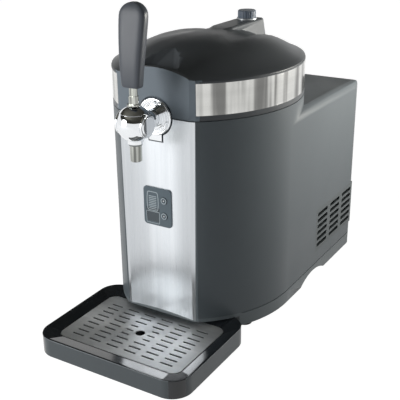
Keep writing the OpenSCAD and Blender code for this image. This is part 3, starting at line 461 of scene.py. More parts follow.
class Stock:
    """The finishes of this machine, each named for its material and how it was made."""

    # ABS out of an etched mould: a wide soft sheen and faint clouds where the melt flowed.
    SHELL = Moulded("abs_satin_moulded_slate", "#5D656A", "#555D62", 0.42, 0.04)
    BASE = Moulded("abs_satin_moulded_slate_base", "#70787C", "#676F73", 0.42, 0.04)
    VENT = Moulded("abs_satin_moulded_vent", "#5B6365", "#545B5E", 0.45, 0.04)
    # The same ABS in charcoal: darker, a little smoother, so edges draw a thin pale line.
    LID = Moulded("abs_satin_moulded_charcoal", "#53575B", "#4C5054", 0.38, 0.04, grain_mm=0.8)
    # The visor's front: the same ABS, a little duller, painted paler and bluer as light on the
    # side that faces the front.
    VISOR_PAINTED_LIGHT = Moulded("abs_moulded_slate_visor_painted_light", "#808B94", "#78838D", 0.44, 0.04)
    # Denser ABS of the handle: a soft upright highlight, cool with a hint of violet.
    LEVER = Moulded("abs_satin_moulded_lever", "#5B6068", "#545961", 0.36, 0.05)
    # Polycarbonate from an etched mould: a dry blue grey with soft glints on the ribs.
    KNOB = Moulded("polycarbonate_moulded_blue_grey", "#6C7786", "#5F6A78", 0.42, 0.06)
    # Tray wall from an etched mould, its rim and pan from a polished one, which is glossier;
    # the rim and pan are the same grey painted nearly black as shade where they face up and in.
    TRAY_WALL = Moulded("abs_satin_moulded_tray", "#596064", "#52595D", 0.38, 0.05)
    TRAY_RIM_PAINTED_SHADE = Moulded("abs_gloss_moulded_tray_painted_shade", "#2B2F34", "#24282C", 0.16, 0.05, coat=0.35)
    # The tray's top edge, painted pale as a highlight line, and a little shinier.
    TRAY_EDGE_HIGHLIGHT = Moulded("abs_moulded_tray_edge_painted_highlight", "#868D91", "#7C8388", 0.3, 0.06)
    # Polycarbonate plate with a fine matt texture behind the print.
    PLATE = Moulded("polycarbonate_moulded_slate_blue", "#6A7881", "#63717A", 0.36, 0.05)
    # Silicone keys: duller than the plate round them, with a dry look.
    BUTTON = Moulded("silicone_moulded_slate_blue", "#566570", "#4F5D67", 0.5, 0.04)
    # Glass filled nylon: matt, speckled a little by its fibres.
    BLACK = Moulded("nylon_moulded_black", "#1F2123", "#191B1C", 0.55, 0.05)
    # Rubber feet: dull black that takes up dust.
    RUBBER = Moulded("rubber_moulded_black", "#1B1C1D", "#141516", 0.75, 0.05)
    # Silicone lip seals: mid grey with a dry sheen.
    SEAL = Moulded("silicone_extruded_grey", "#6A6D6F", "#5F6264", 0.6, 0.05)
    # Drawn polystyrene liner: white, smooth, softly shining.
    LINER = Moulded("polystyrene_vacuum_formed_white", "#D5D7D5", "#CBCDCB", 0.38, 0.05)
    # Natural polyethylene tube: milky and waxy.
    TUBE = Moulded("polyethylene_extruded_natural", "#D6D9DB", "#C8CCCE", 0.3, 0.05)
    # Screen print: a pale, dull film of ink with a slightly uneven edge of tone.
    INK = Moulded("ink_screen_printed_pale", "#C6D1D7", "#B7C4CB", 0.5, 0.04)
    # Light diffuser in each key: plain milky white.
    DOT = Moulded("diffuser_moulded_white", "#EEF1F3", "#E4E8EB", 0.4, 0.04)
    # Clear acrylic over a switched off display: dark, glossy, blue grey.
    GLASS = Moulded("acrylic_cast_over_grey_cell", "#414F58", "#394750", 0.12, 0.03, coat=0.6)
    # Stainless sheet brushed upright: fine streaks, and highlights drawn out sideways.
    # The wide strips of tone on panel, band and tubes stand in for the reflections of a
    # room that the plain studio lacks, so they are part of the colour.
    PANEL = Brushed(
        "stainless_sheet_brushed_upright", "#EAEEF2", "#DDE2E7", 0.3, 0.55, 0.004,
        reflection_strip_mm=75.0, reflection_strip_low=0.72, reflection_strip_tilt=6.0,
    )
    # Stainless strip rolled round the lid, polished smoother than the panel.
    BAND = Brushed(
        "stainless_strip_brushed_round", "#D3D3D0", "#C8C8C5", 0.17, 1.1, 0.004, Grain.ROUND,
        0.3, reflection_strip_mm=15.0, reflection_strip_low=0.3,
    )
    # Punched stainless sheet, brushed across the tray before the slots were punched, with faint
    # strips of painted reflection.
    GRILLE = Brushed(
        "stainless_sheet_brushed_across", "#F2F4F5", "#E2E5E7", 0.55, 0.8, 0.005, Grain.ACROSS
    )
    # Bright chrome over zinc: mirror-like, with reflections that swim on the casting.
    CHROME = Plated("zinc_diecast_chrome_plated", "#ECEEF0", "#DFE2E5", 0.03, 0.035)
    # Drawn tube under chrome: upright pale, dark and olive stripes of painted reflection.
    DRAWN = Brushed(
        "brass_tube_drawn_chrome_plated", "#DADCD8", "#A3A69C", 0.12, 0.9, 0.004,
        reflection_strip_mm=5.0, reflection_strip_low=0.3,
    )
    # Chrome of the spout's knurled ring: darker and duller than the bright chrome.
    CHROME_DULL = Plated("zinc_diecast_chrome_darker", "#8E9292", "#7A7E7E", 0.2, 0.1, 3.0, 0.05)
    # Drawn and anodised aluminium can: silky grey without clear reflections.
    ANODISED = Plated("aluminium_drawn_anodised", "#AEB2B4", "#A0A4A7", 0.34, 0.08, 14, 0.02)
    # Extruded and milled aluminium: soft sheen with faint tool marks.
    MACHINED = Plated("aluminium_extruded_machined", "#A5AAAC", "#979C9F", 0.3, 0.1, 6, 0.03)
    # Ground steel pins: bright, with small uneven glints.
    STEEL = Plated("steel_ground_bright", "#9DA1A4", "#8F9396", 0.22, 0.08, 5, 0.02)
    # Zinc plated steel: grey with a slow cloudy bloom.
    ZINC = Plated("steel_zinc_plated", "#8D9194", "#7F8487", 0.38, 0.1, 12, 0.04)
    # Turned brass: warm yellow, fine rings from the tool.
    BRASS = Plated("brass_turned", "#B08A45", "#9C783A", 0.26, 0.08, 4, 0.02)
    # Poured foam under its dark skin: dull, with cells that show as faint dimples.
    FOAM = Cast("polyurethane_foam_cast_dark", "#34383A", "#2B2F31")
    # Fired alumina faces of the cooling cell: chalky white.
    CERAMIC = Cast("alumina_fired", "#E4E4DE", "#D8D8D0", 0.5, 0.8, 0.02)
    # Lacquered glass epoxy board: green with a weave that shows faintly through.
    BOARD = Cast("glass_epoxy_lacquered_green", "#2C6742", "#245838", 0.4, 1.6, 0.03)


# ---------------------------------------------------------------- workbench


class Bench:
    """Mesh operators, as a modeller uses them by hand."""

    @staticmethod
    def clear() -> None:
        """Leave edit mode and deselect every object."""
        if bpy.context.object and bpy.context.object.mode != "OBJECT":
            bpy.ops.object.mode_set(mode="OBJECT")
        bpy.ops.object.select_all(action="DESELECT")

    @staticmethod
    def hold(piece: bpy.types.Object) -> None:
        """Make one piece the only selected and active one."""
        Bench.clear()
        piece.select_set(True)
        bpy.context.view_layer.objects.active = piece

    @staticmethod
    def edit(piece: bpy.types.Object, select: str = "DESELECT") -> None:
        """Open a piece in edit mode with all or nothing of it selected."""
        Bench.hold(piece)
        bpy.ops.object.mode_set(mode="EDIT")
        bpy.ops.mesh.select_mode(type="FACE")
        bpy.ops.mesh.select_all(action=select)

    @staticmethod
    def pick(piece: bpy.types.Object, test: Callable[[Vector, Vector], bool]) -> int:
        """Select the faces of the piece in edit mode that pass a test.

        Args:
            piece: The piece, already in edit mode.
            test: Says yes or no to a face's centre in millimetres and its normal.

        Returns:
            How many faces are selected.
        """
        mesh = bmesh.from_edit_mesh(piece.data)
        chosen = 0
        for face in mesh.faces:
            keep = test(face.calc_center_median() / MM, face.normal)
            face.select_set(keep)
            chosen += keep
        bmesh.update_edit_mesh(piece.data)
        return chosen

    @staticmethod
    def apply(piece: bpy.types.Object, kind: str, **settings: object) -> None:
        """Add one modifier with its settings and apply it at once."""
        Bench.hold(piece)
        made = piece.modifiers.new(kind.title(), kind)
        for key, value in settings.items():
            setattr(made, key, value)
        bpy.ops.object.modifier_apply(modifier=made.name)

    @staticmethod
    def freeze() -> None:
        """Apply the active piece's place, turn and scale to its mesh."""
        bpy.ops.object.transform_apply(location=True, rotation=True, scale=True)

    @staticmethod
    def shade(piece: bpy.types.Object, angle: float) -> None:
        """Smooth a piece, apart from edges sharper than the angle in degrees."""
        Bench.hold(piece)
        bpy.ops.object.shade_smooth_by_angle(angle=math.radians(angle))

    @staticmethod
    def close(piece: bpy.types.Object, angle: float = 35.0) -> bpy.types.Object:
        """Merge doubles, turn faces outward, apply the place and smooth by angle."""
        Bench.edit(piece, "SELECT")
        bpy.ops.mesh.remove_doubles(threshold=TOUCH_MM * MM)
        bpy.ops.mesh.normals_make_consistent(inside=False)
        Bench.hold(piece)
        Bench.freeze()
        Bench.shade(piece, angle)
        return piece

    @staticmethod
    def soften(piece: bpy.types.Object, width: float, angle: float) -> None:
        """Round a piece's sharp edges by a small bevel, width in millimetres."""
        Bench.apply(
            piece,
            "BEVEL",
            width=width * MM,
            segments=2,
            limit_method="ANGLE",
            angle_limit=math.radians(angle),
        )
        Bench.shade(piece, angle)

    @staticmethod
    def turned(
        name: str,
        axis: Axis,
        centre: Point,
        profile: Sequence[Station],
        corners: int,
        hollow: bool = False,
        angle: float = 35.0,
    ) -> bpy.types.Object:
        """Make a turned piece by pulling a ring along its axis.

        Args:
            name: The piece's name.
            axis: The axis that it is turned about.
            centre: The point on the axis that the stations count from, in millimetres.
            profile: Stations along the axis with their radii, in millimetres.
            corners: Corners of the ring; few corners make a nut.
            hollow: Whether the profile comes back to its first station round a bore.
            angle: Edges sharper than this stay sharp, in degrees.

        Returns:
            The finished piece.
        """
        along = axis.value
        start, radius = profile[0]
        base = Vector(centre) * MM
        Bench.clear()
        bpy.ops.mesh.primitive_circle_add(
            vertices=corners,
            radius=radius * MM,
            fill_type="NOTHING" if hollow else "NGON",
            location=base + along * start * MM,
            rotation=axis.turn(),
        )
        piece = bpy.context.object
        piece.name = name
        Bench.freeze()
        bpy.ops.object.mode_set(mode="EDIT")
        bpy.ops.mesh.select_mode(type="EDGE" if hollow else "FACE")
        bpy.ops.mesh.select_all(action="SELECT")
        pull = bpy.ops.mesh.extrude_edges_move if hollow else bpy.ops.mesh.extrude_region_move
        for station, wide in profile[1:]:
            share = wide / radius
            pull(TRANSFORM_OT_translate={"value": along * (station - start) * MM})
            bpy.ops.transform.resize(
                value=(share, share, share), center_override=base + along * station * MM
            )
            start, radius = station, wide
        return Bench.close(piece, angle)

    @staticmethod
    def plate(
        name: str,
        centre: Point,
        size: Station,
        corner: float,
        depth: Station,
        rim: float = 0.0,
        belly: float = 0.0,
        segments: int = 5,
    ) -> bpy.types.Object:
        """Make an upright plate with round corners, square to Y, or a frame of it.

        Args:
            name: The piece's name.
            centre: The plate's centre in its own plane, in millimetres.
            size: Its width and its height.
            corner: Radius of the corners.
            depth: Its front and its back along Y.
            rim: Width of the frame that is left when the inside is cut away, or 0.
            belly: How much wider the middle is than the ends, as on a barrel.
            segments: Faces round each corner.

        Returns:
            The plate or frame, closed and in place.
        """
        wide, high = size
        front, back = depth
        Bench.clear()
        bpy.ops.mesh.primitive_plane_add(size=1, location=(0, 0, 0))
        piece = bpy.context.object
        piece.name = name
        piece.scale = (wide * MM, high * MM, 1)
        Bench.freeze()
        bpy.ops.object.mode_set(mode="EDIT")
        bpy.ops.mesh.select_mode(type="VERT")
        bpy.ops.mesh.select_all(action="SELECT")
        bpy.ops.mesh.bevel(offset=corner * MM, segments=segments, affect="VERTICES")
        if belly:
            half = high / 2 * MM
            for share in (-0.7, -0.35, 0.0, 0.35, 0.7):
                bpy.ops.mesh.select_all(action="SELECT")
                bpy.ops.mesh.bisect(plane_co=(0, share * half, 0), plane_no=(0, 1, 0))
            bpy.ops.object.mode_set(mode="OBJECT")
            for point in piece.data.vertices:
                point.co.x *= 1 + belly * (1 - (point.co.y / half) ** 2) / wide
            bpy.ops.object.mode_set(mode="EDIT")
        bpy.ops.mesh.select_mode(type="FACE")
        bpy.ops.mesh.select_all(action="SELECT")
        if rim:
            bpy.ops.mesh.inset(thickness=rim * MM, depth=0, use_boundary=True)
            bpy.ops.mesh.delete(type="FACE")
            bpy.ops.mesh.select_all(action="SELECT")
        thickness = Vector((0, 0, (back - front) * MM))
        bpy.ops.mesh.extrude_region_move(TRANSFORM_OT_translate={"value": thickness})
        bpy.ops.object.mode_set(mode="OBJECT")
        upright = Matrix(((1, 0, 0, 0), (0, 0, 1, 0), (0, 1, 0, 0), (0, 0, 0, 1)))
        place = (Vector(centre) + Vector((0, front, 0))) * MM
        piece.data.transform(Matrix.Translation(place) @ upright)
        return Bench.close(piece)

    @staticmethod
    def copy(piece: bpy.types.Object, name: str) -> bpy.types.Object:
        """Copy a piece with a mesh of its own."""
        twin = piece.copy()
        twin.data = piece.data.copy()
        twin.name = name
        bpy.context.scene.collection.objects.link(twin)
        return twin


@dataclass
class Assembly:
    """A group of pieces that is dressed together."""

    frame: dict

    def node(self, name: str) -> bpy.types.Object:
        """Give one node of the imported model."""
        return self.frame["nodes"][name]

    def dress(self, finish: Finish, *names: str) -> None:
        """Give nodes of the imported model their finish."""
        for name in names:
            mesh = self.node(name).data
            mesh.materials.clear()
            mesh.materials.append(finish.material())
            LOG.info("node %s: %s", name, finish.name)

    def refine(
        self, node: str, name: str, finish: Finish, body: str, slot: str, edge: float = 0.0
    ) -> bpy.types.Object:
        """Copy a node, merge its loose faces, round its edges and show the copy.

        Args:
            node: The node that the copy stands for.
            name: Name of the copy.
            finish: Its finish.
            body: The body that it rides on.
            slot: Its material slot in the record; not used.
            edge: Width of the rounded edges in millimetres, or 0 for none.

        Returns:
            The copy.
        """
        twin = Bench.copy(self.node(node), name)
        twin.parent = None
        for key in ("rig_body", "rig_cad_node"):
            del twin[key]
        Bench.edit(twin, "SELECT")
        bpy.ops.mesh.remove_doubles(threshold=WELD_MM * MM)
        bpy.ops.mesh.dissolve_limited(angle_limit=math.radians(FLAT_DEG))
        Bench.shade(twin, CREASE_DEG)
        if edge:
            Bench.soften(twin, edge, 45)
        Bench.apply(twin, "WEIGHTED_NORMAL", weight=90, keep_sharp=True)
        self.fit(twin, finish, body, slot)
        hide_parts(node)
        return twin

    def tint(
        self, piece: bpy.types.Object, finish: Finish, test: Callable[[Vector, Vector], bool]
    ) -> None:
        """Give the faces of a piece that pass a test a second finish.

        Args:
            piece: The piece, already with its first finish.
            finish: The second finish.
            test: Says yes or no to a face's centre in millimetres and its normal.
        """
        piece.data.materials.append(finish.material())
        slot = len(piece.data.materials) - 1
        Bench.edit(piece)
        if Bench.pick(piece, test):
            piece.active_material_index = slot
            bpy.ops.object.material_slot_assign()
        Bench.clear()

    def fit(self, piece: bpy.types.Object, finish: Finish, body: str, slot: str) -> None:
        """Give a new piece its finish and its body."""
        piece.data.materials.clear()
        piece.data.materials.append(finish.material())
        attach(piece, body)
        LOG.info("piece %s on %s: %s", piece.name, body, finish.name)

    def build(self) -> None:
        """Make and dress the group's pieces."""
        raise NotImplementedError


@dataclass
class Casing(Assembly):
    """Main shell, base, feet, steel front, vents and the closed rear."""

    def build(self) -> None:
        """Dress the outside of the machine."""
        self.refine("housing", "casing_shell", Stock.SHELL, "body", "shell_plastic")
        self.refine("base", "casing_base", Stock.BASE, "body", "base_plastic")
        self.dress(Stock.RUBBER, "feet")
        self.refine("front_panel", "steel_front", Stock.PANEL, "body", "brushed_sheet")
        self.refine("side_vents", "vent_louvres", Stock.VENT, "body", "shell_plastic")
        self.refine("rear_grille", "rear_louvre", Stock.BASE, "body", "base_plastic")
        self.dress(Stock.ZINC, "rear_screws")
        self.refine("mains_inlet", "inlet_socket", Stock.BLACK, "body", "fan_plastic")


@dataclass
class Cooling(Assembly):
    """Keg chamber and the thermoelectric cooler behind it."""

    def build(self) -> None:
        """Dress the pieces that show when the lid is open or through the vents."""
        self.dress(Stock.ANODISED, "chamber")
        self.dress(Stock.FOAM, "insulation")
        self.dress(Stock.ZINC, "bulkhead")
        self.dress(Stock.MACHINED, "cold_block", "heat_sink")
        self.dress(Stock.CERAMIC, "peltier")
        self.dress(Stock.BLACK, "fan_frame", "fan_rotor", "power_parts")
        self.dress(Stock.BOARD, "power_board")


@dataclass
class Controls(Assembly):
    """Control plate with its window, print and two push buttons."""

    face_y: float = -135.6
    film: float = 0.09
    key_x: float = 10.4
    key_z: tuple[float, float] = (172.8, 194.2)
    key_front_y: float = -136.6
    barrel: Point = (-7.3, 0.0, 190.6)
    barrel_size: tuple[float, float] = (15.6, 27.0)
    barrel_corner: float = 2.4
    barrel_belly: float = 3.0
    bars: int = 8
    bar: tuple[float, float] = (12.0, 1.15)
    bar_corner: float = 0.5
    bar_low_z: float = 180.3
    bar_pitch: float = 2.4375
    display: Point = (-7.3, 0.0, 168.0)
    display_size: tuple[float, float] = (20.8, 16.8)
    display_corner: float = 0.9
    display_line: float = 0.75
    ring_r: tuple[float, float] = (3.1, 4.35)
    light_r: float = 1.15

    def print_on(self, piece: bpy.types.Object) -> None:
        """Finish one printed mark on the plate."""
        self.fit(piece, Stock.INK, "body", "plate_plastic")

    def plate_marks(self) -> None:
        """Print the barrel with the bars of its level, and the line round the display."""
        depth = (self.face_y - self.film, self.face_y)
        outline = Bench.plate(
            "mark_barrel", self.barrel, self.barrel_size, self.barrel_corner, depth,
            self.bar[1], self.barrel_belly,
        )
        self.print_on(outline)
        first = (self.barrel[0], 0, self.bar_low_z)
        bar = Bench.plate("mark_bar_1", first, self.bar, self.bar_corner, depth, segments=3)
        self.print_on(bar)
        for step in range(1, self.bars):
            twin = Bench.copy(bar, f"mark_bar_{step + 1}")
            twin.data.transform(Matrix.Translation((0, 0, self.bar_pitch * step * MM)))
            self.print_on(twin)
        frame = Bench.plate(
            "mark_display", self.display, self.display_size, self.display_corner, depth,
            self.display_line,
        )
        self.print_on(frame)

    def key_marks(self) -> None:
        """Print a ring on each key and set its light dot in the middle."""
        low, high = self.key_front_y - self.film, self.key_front_y + 0.3
        inner, outer = self.ring_r
        for name, z in zip(("lower", "upper"), self.key_z):
            ring = Bench.turned(
                f"mark_ring_{name}",
                Axis.Y,
                (self.key_x, 0, z),
                ((high, inner), (high, outer), (low, outer), (low, inner), (high, inner)),
                40,
                hollow=True,
            )
            self.fit(ring, Stock.INK, f"{name}_button", "button_plastic")
            dot = Bench.turned(
                f"key_light_{name}",
                Axis.Y,
                (self.key_x, 0, z),
                ((high, self.light_r), (low, self.light_r), (low - 0.05, 0.9), (low - 0.08, 0.45)),
                24,
            )
            self.fit(dot, Stock.DOT, f"{name}_button", "button_plastic")

    def build(self) -> None:
        """Dress the control plate and its pieces."""
        self.refine("control_plate", "plate_face", Stock.PLATE, "body", "plate_plastic", 0.5)
        self.dress(Stock.GLASS, "display_window")
        self.dress(Stock.BOARD, "control_board")
        self.dress(Stock.BUTTON, "button_upper", "button_lower")
        self.plate_marks()
        self.key_marks()


@dataclass
class Lid(Assembly):
    """Hinged lid with its steel band, liner, gas fittings and knob."""

    visor_half: float = 62.0
    visor_y: float = -120.0
    visor_top: float = 368.0

    def on_lit_visor_front(self, at: Vector, normal: Vector) -> bool:
        """Say whether a face belongs to the visor's flat front, which is painted paler as light.
        """
        in_front = abs(at.x) < self.visor_half and at.y < self.visor_y
        return normal.y < -0.8 and in_front and at.z < self.visor_top

    def build(self) -> None:
        """Dress the lid and what it carries."""
        cover = self.refine("lid_cover", "lid_shell", Stock.LID, "lid", "lid_plastic")
        # Painted light on the visor's front-facing faces.
        self.tint(cover, Stock.VISOR_PAINTED_LIGHT, self.on_lit_visor_front)
        self.refine("lid_band", "lid_strip", Stock.BAND, "lid", "brushed_sheet")
        self.dress(Stock.LINER, "lid_liner")
        self.dress(Stock.SEAL, "lid_seal")
        self.dress(Stock.STEEL, "hinge_pin")
        self.refine("knob", "gas_knob_cap", Stock.KNOB, "gas_knob", "knob_plastic")
        self.dress(Stock.ANODISED, "knob_collar")
        self.dress(Stock.BRASS, "regulator")
        self.dress(Stock.ZINC, "gas_cartridge")


@dataclass
class Tap(Assembly):
    """Draught tap with its flange, spout, stem and lever."""

    ball: Point = (0.0, -177.0, 306.5)
    ball_r: float = 22.0
    dome_gap: float = 0.45
    dome_wall: float = 0.45
    dome_low: float = 320.6
    dome_half: float = 16.8
    flange_z: float = 305.2
    flange_y: float = -135.2
    spout_r: float = 7.4
    spout_bore: float = 5.0
    spout_low: float = 260.0
    spout_top: float = 281.0
    neck_top: float = 286.5
    neck_r: float = 5.4
    knurl_r: float = 8.0
    knurl_bore: float = 5.6
    knurl_z: tuple[float, float] = (280.2, 282.4)
    knurl_cell: tuple[float, float] = (0.22, 0.45)
    nuts_low: float = 331.1
    nuts_r: tuple[float, float] = (4.5, 8.2)
    nuts_share: float = 0.87

    def dome(self) -> None:
        """Make the thin dome that rides on the lever and hides the stem's slot."""
        outer = self.ball_r + self.dome_gap + self.dome_wall
        centre = Vector(self.ball) * MM
        Bench.clear()
        bpy.ops.mesh.primitive_uv_sphere_add(
            segments=96, ring_count=64, radius=outer * MM, location=centre
        )
        piece = bpy.context.object
        piece.name = "tap_dome"
        Bench.freeze()
        bpy.ops.object.mode_set(mode="EDIT")
        cuts = (
            ((0, 0, self.dome_low * MM), (0, 0, -1)),
            ((self.dome_half * MM, 0, 0), (1, 0, 0)),
            ((-self.dome_half * MM, 0, 0), (-1, 0, 0)),
        )
        for place, normal in cuts:
            bpy.ops.mesh.select_all(action="SELECT")
            bpy.ops.mesh.bisect(plane_co=place, plane_no=normal, clear_outer=True)
        Bench.close(piece, 40)
        Bench.apply(piece, "SOLIDIFY", thickness=self.dome_wall * MM, offset=-1.0)
        Bench.soften(piece, 0.12, 50)
        self.fit(piece, Stock.CHROME, "lever", "chrome")

    def lip(self) -> None:
        """Make the raised lip round the wall flange."""
        ring = Bench.turned(
            "flange_lip",
            Axis.Y,
            (0, self.flange_y, self.flange_z),
            ((0, 20.4), (-1.1, 20.7), (-1.8, 21.5), (-2.0, 22.4), (-1.7, 23.2), (-0.9, 23.85),
             (0, 24.0), (0, 20.4)),
            96,
            hollow=True,
            angle=50,
        )
        self.fit(ring, Stock.CHROME, "body", "chrome")

    def spout(self) -> None:
        """Make the spout's tube and the knurled ring that screws it on."""
        r, bore, low, top = self.spout_r, self.spout_bore, self.spout_low, self.spout_top
        x, y, _ = self.ball
        tube = Bench.turned(
            "spout_tube",
            Axis.Z,
            (x, y, 0),
            ((low, bore), (low, r - 0.5), (low + 0.5, r), (top, r), (top, self.neck_r),
             (self.neck_top, self.neck_r), (self.neck_top, 4.2), (low + 2, bore), (low, bore)),
            72,
            hollow=True,
        )
        self.fit(tube, Stock.DRAWN, "body", "chrome")
        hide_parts("spout")
        (start, end), wide, bore = self.knurl_z, self.knurl_r, self.knurl_bore
        ring = Bench.turned(
            "spout_knurl",
            Axis.Z,
            (x, y, 0),
            ((start, bore), (start, wide), (end, wide), (end, bore), (start, bore)),
            36,
            hollow=True,
        )
        Bench.edit(ring)
        Bench.pick(ring, lambda at, n: abs(n.z) < 0.2 and math.hypot(at.x - x, at.y - y) > 7)
        margin, cut = self.knurl_cell
        bpy.ops.mesh.inset(thickness=margin * MM, depth=cut * MM, use_individual=True)
        Bench.shade(ring, 20)
        self.fit(ring, Stock.CHROME_DULL, "body", "chrome")

    def stem(self) -> None:
        """Refine the stem and draw its two nuts in to their real width."""
        stem = self.refine("lever_stem", "lever_stem_plated", Stock.DRAWN, "lever", "chrome")
        x, y, _ = self.ball
        Bench.edit(stem)
        bpy.ops.mesh.select_mode(type="VERT")
        mesh = bmesh.from_edit_mesh(stem.data)
        for point in mesh.verts:
            at = point.co / MM
            far = math.hypot(at.x - x, at.y - y)
            point.select_set(at.z > self.nuts_low and self.nuts_r[0] < far < self.nuts_r[1])
        bmesh.update_edit_mesh(stem.data)
        bpy.ops.transform.resize(
            value=(self.nuts_share, self.nuts_share, 1), center_override=Vector((x, y, 0)) * MM
        )
        Bench.clear()
        Bench.soften(stem, 0.35, 40)

    def build(self) -> None:
        """Dress the tap and the beer line behind it."""
        for node, edge in {
            "tap_flange": 0.3,
            "tap_shank": 0.5,
            "tap_body": 0.4,
            "tap_bonnet": 0.0,
            "tap_end_caps": 0.7,
        }.items():
            self.refine(node, node + "_plated", Stock.CHROME, "body", "chrome", edge)
        self.dome()
        self.lip()
        self.spout()
        self.stem()
        self.refine("lever_handle", "lever_grip", Stock.LEVER, "lever", "lever_plastic")
        self.dress(Stock.STEEL, "pivot_pin", "lever_hub", "tap_plunger")
        self.dress(Stock.CHROME, "riser_head")
        self.dress(Stock.TUBE, "dip_tube")
        self.dress(Stock.SEAL, "keg_seal")


@dataclass
class DripTray(Assembly):
    """Drip tray with its slotted steel grille."""

    half: float = 114.0
    front: float = -266.0
    margin: float = 2.2
    pan_z: float = 3.0
    wall_low: float = 5.0
    # Faces on the top edge above this height get the painted highlight.
    highlight_z: float = 25.2

    def on_shaded_rim(self, at: Vector, normal: Vector) -> bool:
        """Say whether a face belongs to the tray's glossy rim and pan, which are painted dark as
        shade.
        """
        inside = abs(at.x) < self.half - self.margin and at.y > self.front + self.margin
        upright = abs(normal.z) < 0.1 and at.z > self.wall_low
        return inside and at.z > self.pan_z and (normal.z > 0.1 or upright)

    def on_highlight_edge(self, at: Vector, normal: Vector) -> bool:
        """Say whether a face belongs to the top edge round the tray, which is painted pale as a
        highlight.
        """
        return not self.on_shaded_rim(at, normal) and at.z > self.highlight_z and normal.z > 0.2

    def build(self) -> None:
        """Dress the tray and the grille."""
        tub = self.refine("drip_tray", "tray_tub", Stock.TRAY_WALL, "tray", "tray_plastic", 0.6)
        # Painted shade: the rim and pan nearly black.
        self.tint(tub, Stock.TRAY_RIM_PAINTED_SHADE, self.on_shaded_rim)
        # Painted highlight: a pale line along the top edge.
        self.tint(tub, Stock.TRAY_EDGE_HIGHLIGHT, self.on_highlight_edge)
        self.refine("drip_grille", "tray_grille", Stock.GRILLE, "grille", "brushed_sheet")


# ---------------------------------------------------------------- studio


@dataclass(frozen=True)
class Softbox:
    """One square studio lamp: place and aim in metres, side in metres, power in watts."""

    name: str
    place: Point
    aim: Point
    side: float
    power: float
    colour: str = "#FFFFFF"
    spread: float = 180.0

    def hang(self) -> bpy.types.Object:
        """Hang the lamp and turn it to its aim."""
        data = bpy.data.lights.new(self.name, "AREA")
        data.shape = "SQUARE"
        data.size = self.side
        data.energy = self.power
        data.color = linear(self.colour)[:3]
        data.spread = math.radians(self.spread)
        lamp = bpy.data.objects.new(self.name, data)
        lamp.location = self.place
        towards = Vector(self.aim) - Vector(self.place)
        lamp.rotation_mode = "QUATERNION"
        lamp.rotation_quaternion = towards.to_track_quat("-Z", "Y")
        bpy.context.scene.collection.objects.link(lamp)
        return lamp


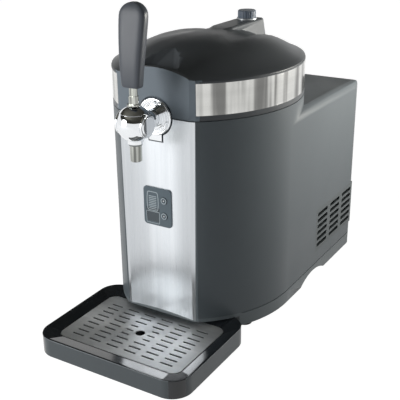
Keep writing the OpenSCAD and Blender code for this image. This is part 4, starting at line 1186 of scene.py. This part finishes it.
@dataclass
class Studio:
    """Camera at the photograph's angle, plain floor and soft lamps.

    The camera's distance, shifts and target are in millimetres, its angles in degrees.
    """

    azimuth: float = 31.611
    elevation: float = 22.071
    roll: float = -0.683
    distance: float = 1131.6
    shift_right: float = -15.753
    shift_up: float = -22.62
    target_height: float = 170.45
    focal_px: float = 785.578
    floor_side: float = 14.0
    floor_white: float = 0.98
    paper: str = "#B4B4B4"
    thin_paper: str = "#8F8F8F"
    ceiling_height: float = 1.7
    ceiling_radius: float = 5.0
    cloth: str = "#8C8A80"
    soft_light: float = 0.4
    soft_colour: str = "#E9EDF0"
    white: str = "#FFFFFF"
    lamps: tuple[Softbox, ...] = (
        Softbox("lamp_front_left", (-1.3, -1.9, 0.7), (0, -0.1, 0.2), 1.2, 30.0),
        Softbox("lamp_rear_right", (0.75, 0.7, 0.44), (0.12, 0.2, 0.36), 0.4, 1.25, "#FFFCF4",
                44.0),
    )

    def camera(self) -> None:
        """Place the camera as it was fitted to the photograph."""
        a, e, r = (math.radians(v) for v in (self.azimuth, self.elevation, self.roll))
        back = Vector((math.sin(a) * math.cos(e), -math.cos(a) * math.cos(e), math.sin(e)))
        right = Vector((math.cos(a), math.sin(a), 0))
        up = back.cross(right)
        turned_right = right * math.cos(r) + up * math.sin(r)
        turned_up = up * math.cos(r) - right * math.sin(r)
        eye = back * self.distance + right * self.shift_right + up * self.shift_up
        eye.z += self.target_height
        pose = Matrix((turned_right, turned_up, back)).transposed().to_4x4()
        pose.translation = eye * MM
        data = bpy.data.cameras.new("photo_camera")
        data.sensor_width = SENSOR_MM
        data.lens = SENSOR_MM * self.focal_px / IMAGE_SIDE_PX
        data.clip_start = 0.05
        data.clip_end = 60.0
        camera = bpy.data.objects.new("photo_camera", data)
        camera.matrix_world = pose
        bpy.context.scene.collection.objects.link(camera)
        bpy.context.scene.camera = camera

    @staticmethod
    def by_ray(
        tree: bpy.types.NodeTree, lit: bpy.types.NodeSocket, seen: bpy.types.NodeSocket
    ) -> bpy.types.NodeSocket:
        """Mix two shaders by the kind of ray that meets them.

        Args:
            tree: The node tree.
            lit: The shader that lights the scene.
            seen: The shader for camera, mirror and glass rays, which see the background.

        Returns:
            The mixed shader.
        """
        path = add_node(tree, "ShaderNodeLightPath")
        direct = path.outputs["Is Camera Ray"]
        for kind in ("Is Glossy Ray", "Is Transmission Ray"):
            either = add_node(
                tree,
                "ShaderNodeMath",
                {"operation": "MAXIMUM"},
                {0: direct, 1: path.outputs[kind]},
            )
            direct = either.outputs["Value"]
        mix = add_node(tree, "ShaderNodeMixShader", {}, {0: direct, 1: lit, 2: seen})
        return mix.outputs["Shader"]

    @staticmethod
    def dull(tree: bpy.types.NodeTree, colour: str) -> bpy.types.NodeSocket:
        """Add plain paper or cloth of one sRGB hex colour."""
        return add_node(tree, "ShaderNodeBsdfDiffuse", {"Color": linear(colour)}).outputs["BSDF"]

    def floor(self) -> None:
        """Lay a wide floor of white paper that shows as white and keeps the shadow."""
        Bench.clear()
        bpy.ops.mesh.primitive_plane_add(size=self.floor_side, location=(0, 0, 0))
        floor = bpy.context.object
        floor.name = "studio_floor"
        material = blank_material("studio_floor_paper")
        tree = material.node_tree
        glow = add_node(
            tree, "ShaderNodeEmission", {"Color": linear(self.white), "Strength": self.floor_white}
        ).outputs["Emission"]
        shown = add_node(
            tree, "ShaderNodeAddShader", {}, {0: self.dull(tree, self.thin_paper), 1: glow}
        ).outputs["Shader"]
        mix = self.by_ray(tree, self.dull(tree, self.paper), shown)
        add_node(tree, "ShaderNodeOutputMaterial", {}, {"Surface": mix})
        floor.data.materials.append(material)

    def ceiling(self) -> None:
        """Hang the dim studio ceiling, which chrome and steel mirror above the horizon."""
        Bench.clear()
        bpy.ops.mesh.primitive_circle_add(
            vertices=96,
            radius=self.ceiling_radius,
            fill_type="NGON",
            location=(0, 0, self.ceiling_height),
        )
        ceiling = bpy.context.object
        ceiling.name = "studio_ceiling"
        material = blank_material("studio_ceiling_cloth")
        cloth = self.dull(material.node_tree, self.cloth)
        add_node(material.node_tree, "ShaderNodeOutputMaterial", {}, {"Surface": cloth})
        ceiling.data.materials.append(material)
        ceiling.visible_camera = False

    def world(self) -> None:
        """Light the scene evenly and show white where the background shows."""
        world = bpy.data.worlds.new("studio_world")
        bpy.context.scene.world = world
        world.use_nodes = True
        tree = world.node_tree
        tree.nodes.clear()
        soft, white = (
            add_node(tree, "ShaderNodeBackground", {"Color": linear(colour), "Strength": light})
            for colour, light in ((self.soft_colour, self.soft_light), (self.white, 1.0))
        )
        mix = self.by_ray(tree, soft.outputs["Background"], white.outputs["Background"])
        add_node(tree, "ShaderNodeOutputWorld", {}, {"Surface": mix})

    def build(self) -> None:
        """Set the view transform, the camera, the stage, the world and the lamps."""
        bpy.context.scene.view_settings.view_transform = "Standard"
        self.camera()
        self.floor()
        self.ceiling()
        self.world()
        for lamp in self.lamps:
            lamp.hang()


def corners(bounds: tuple[Vector, Vector]) -> list[list[float]]:
    """Give the two corners of a box as plain lists."""
    return [[float(v) for v in corner] for corner in bounds]


def main() -> None:
    """Build the looks of the dispenser, piece by piece."""
    logging.basicConfig(level=logging.INFO, format="%(message)s")
    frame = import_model()
    Bench.clear()
    for kind in (Casing, Cooling, Controls, Lid, Tap, DripTray):
        LOG.info("assembly %s", kind.__name__)
        kind(frame).build()
    Studio().build()


if __name__ == "__main__":
    main()
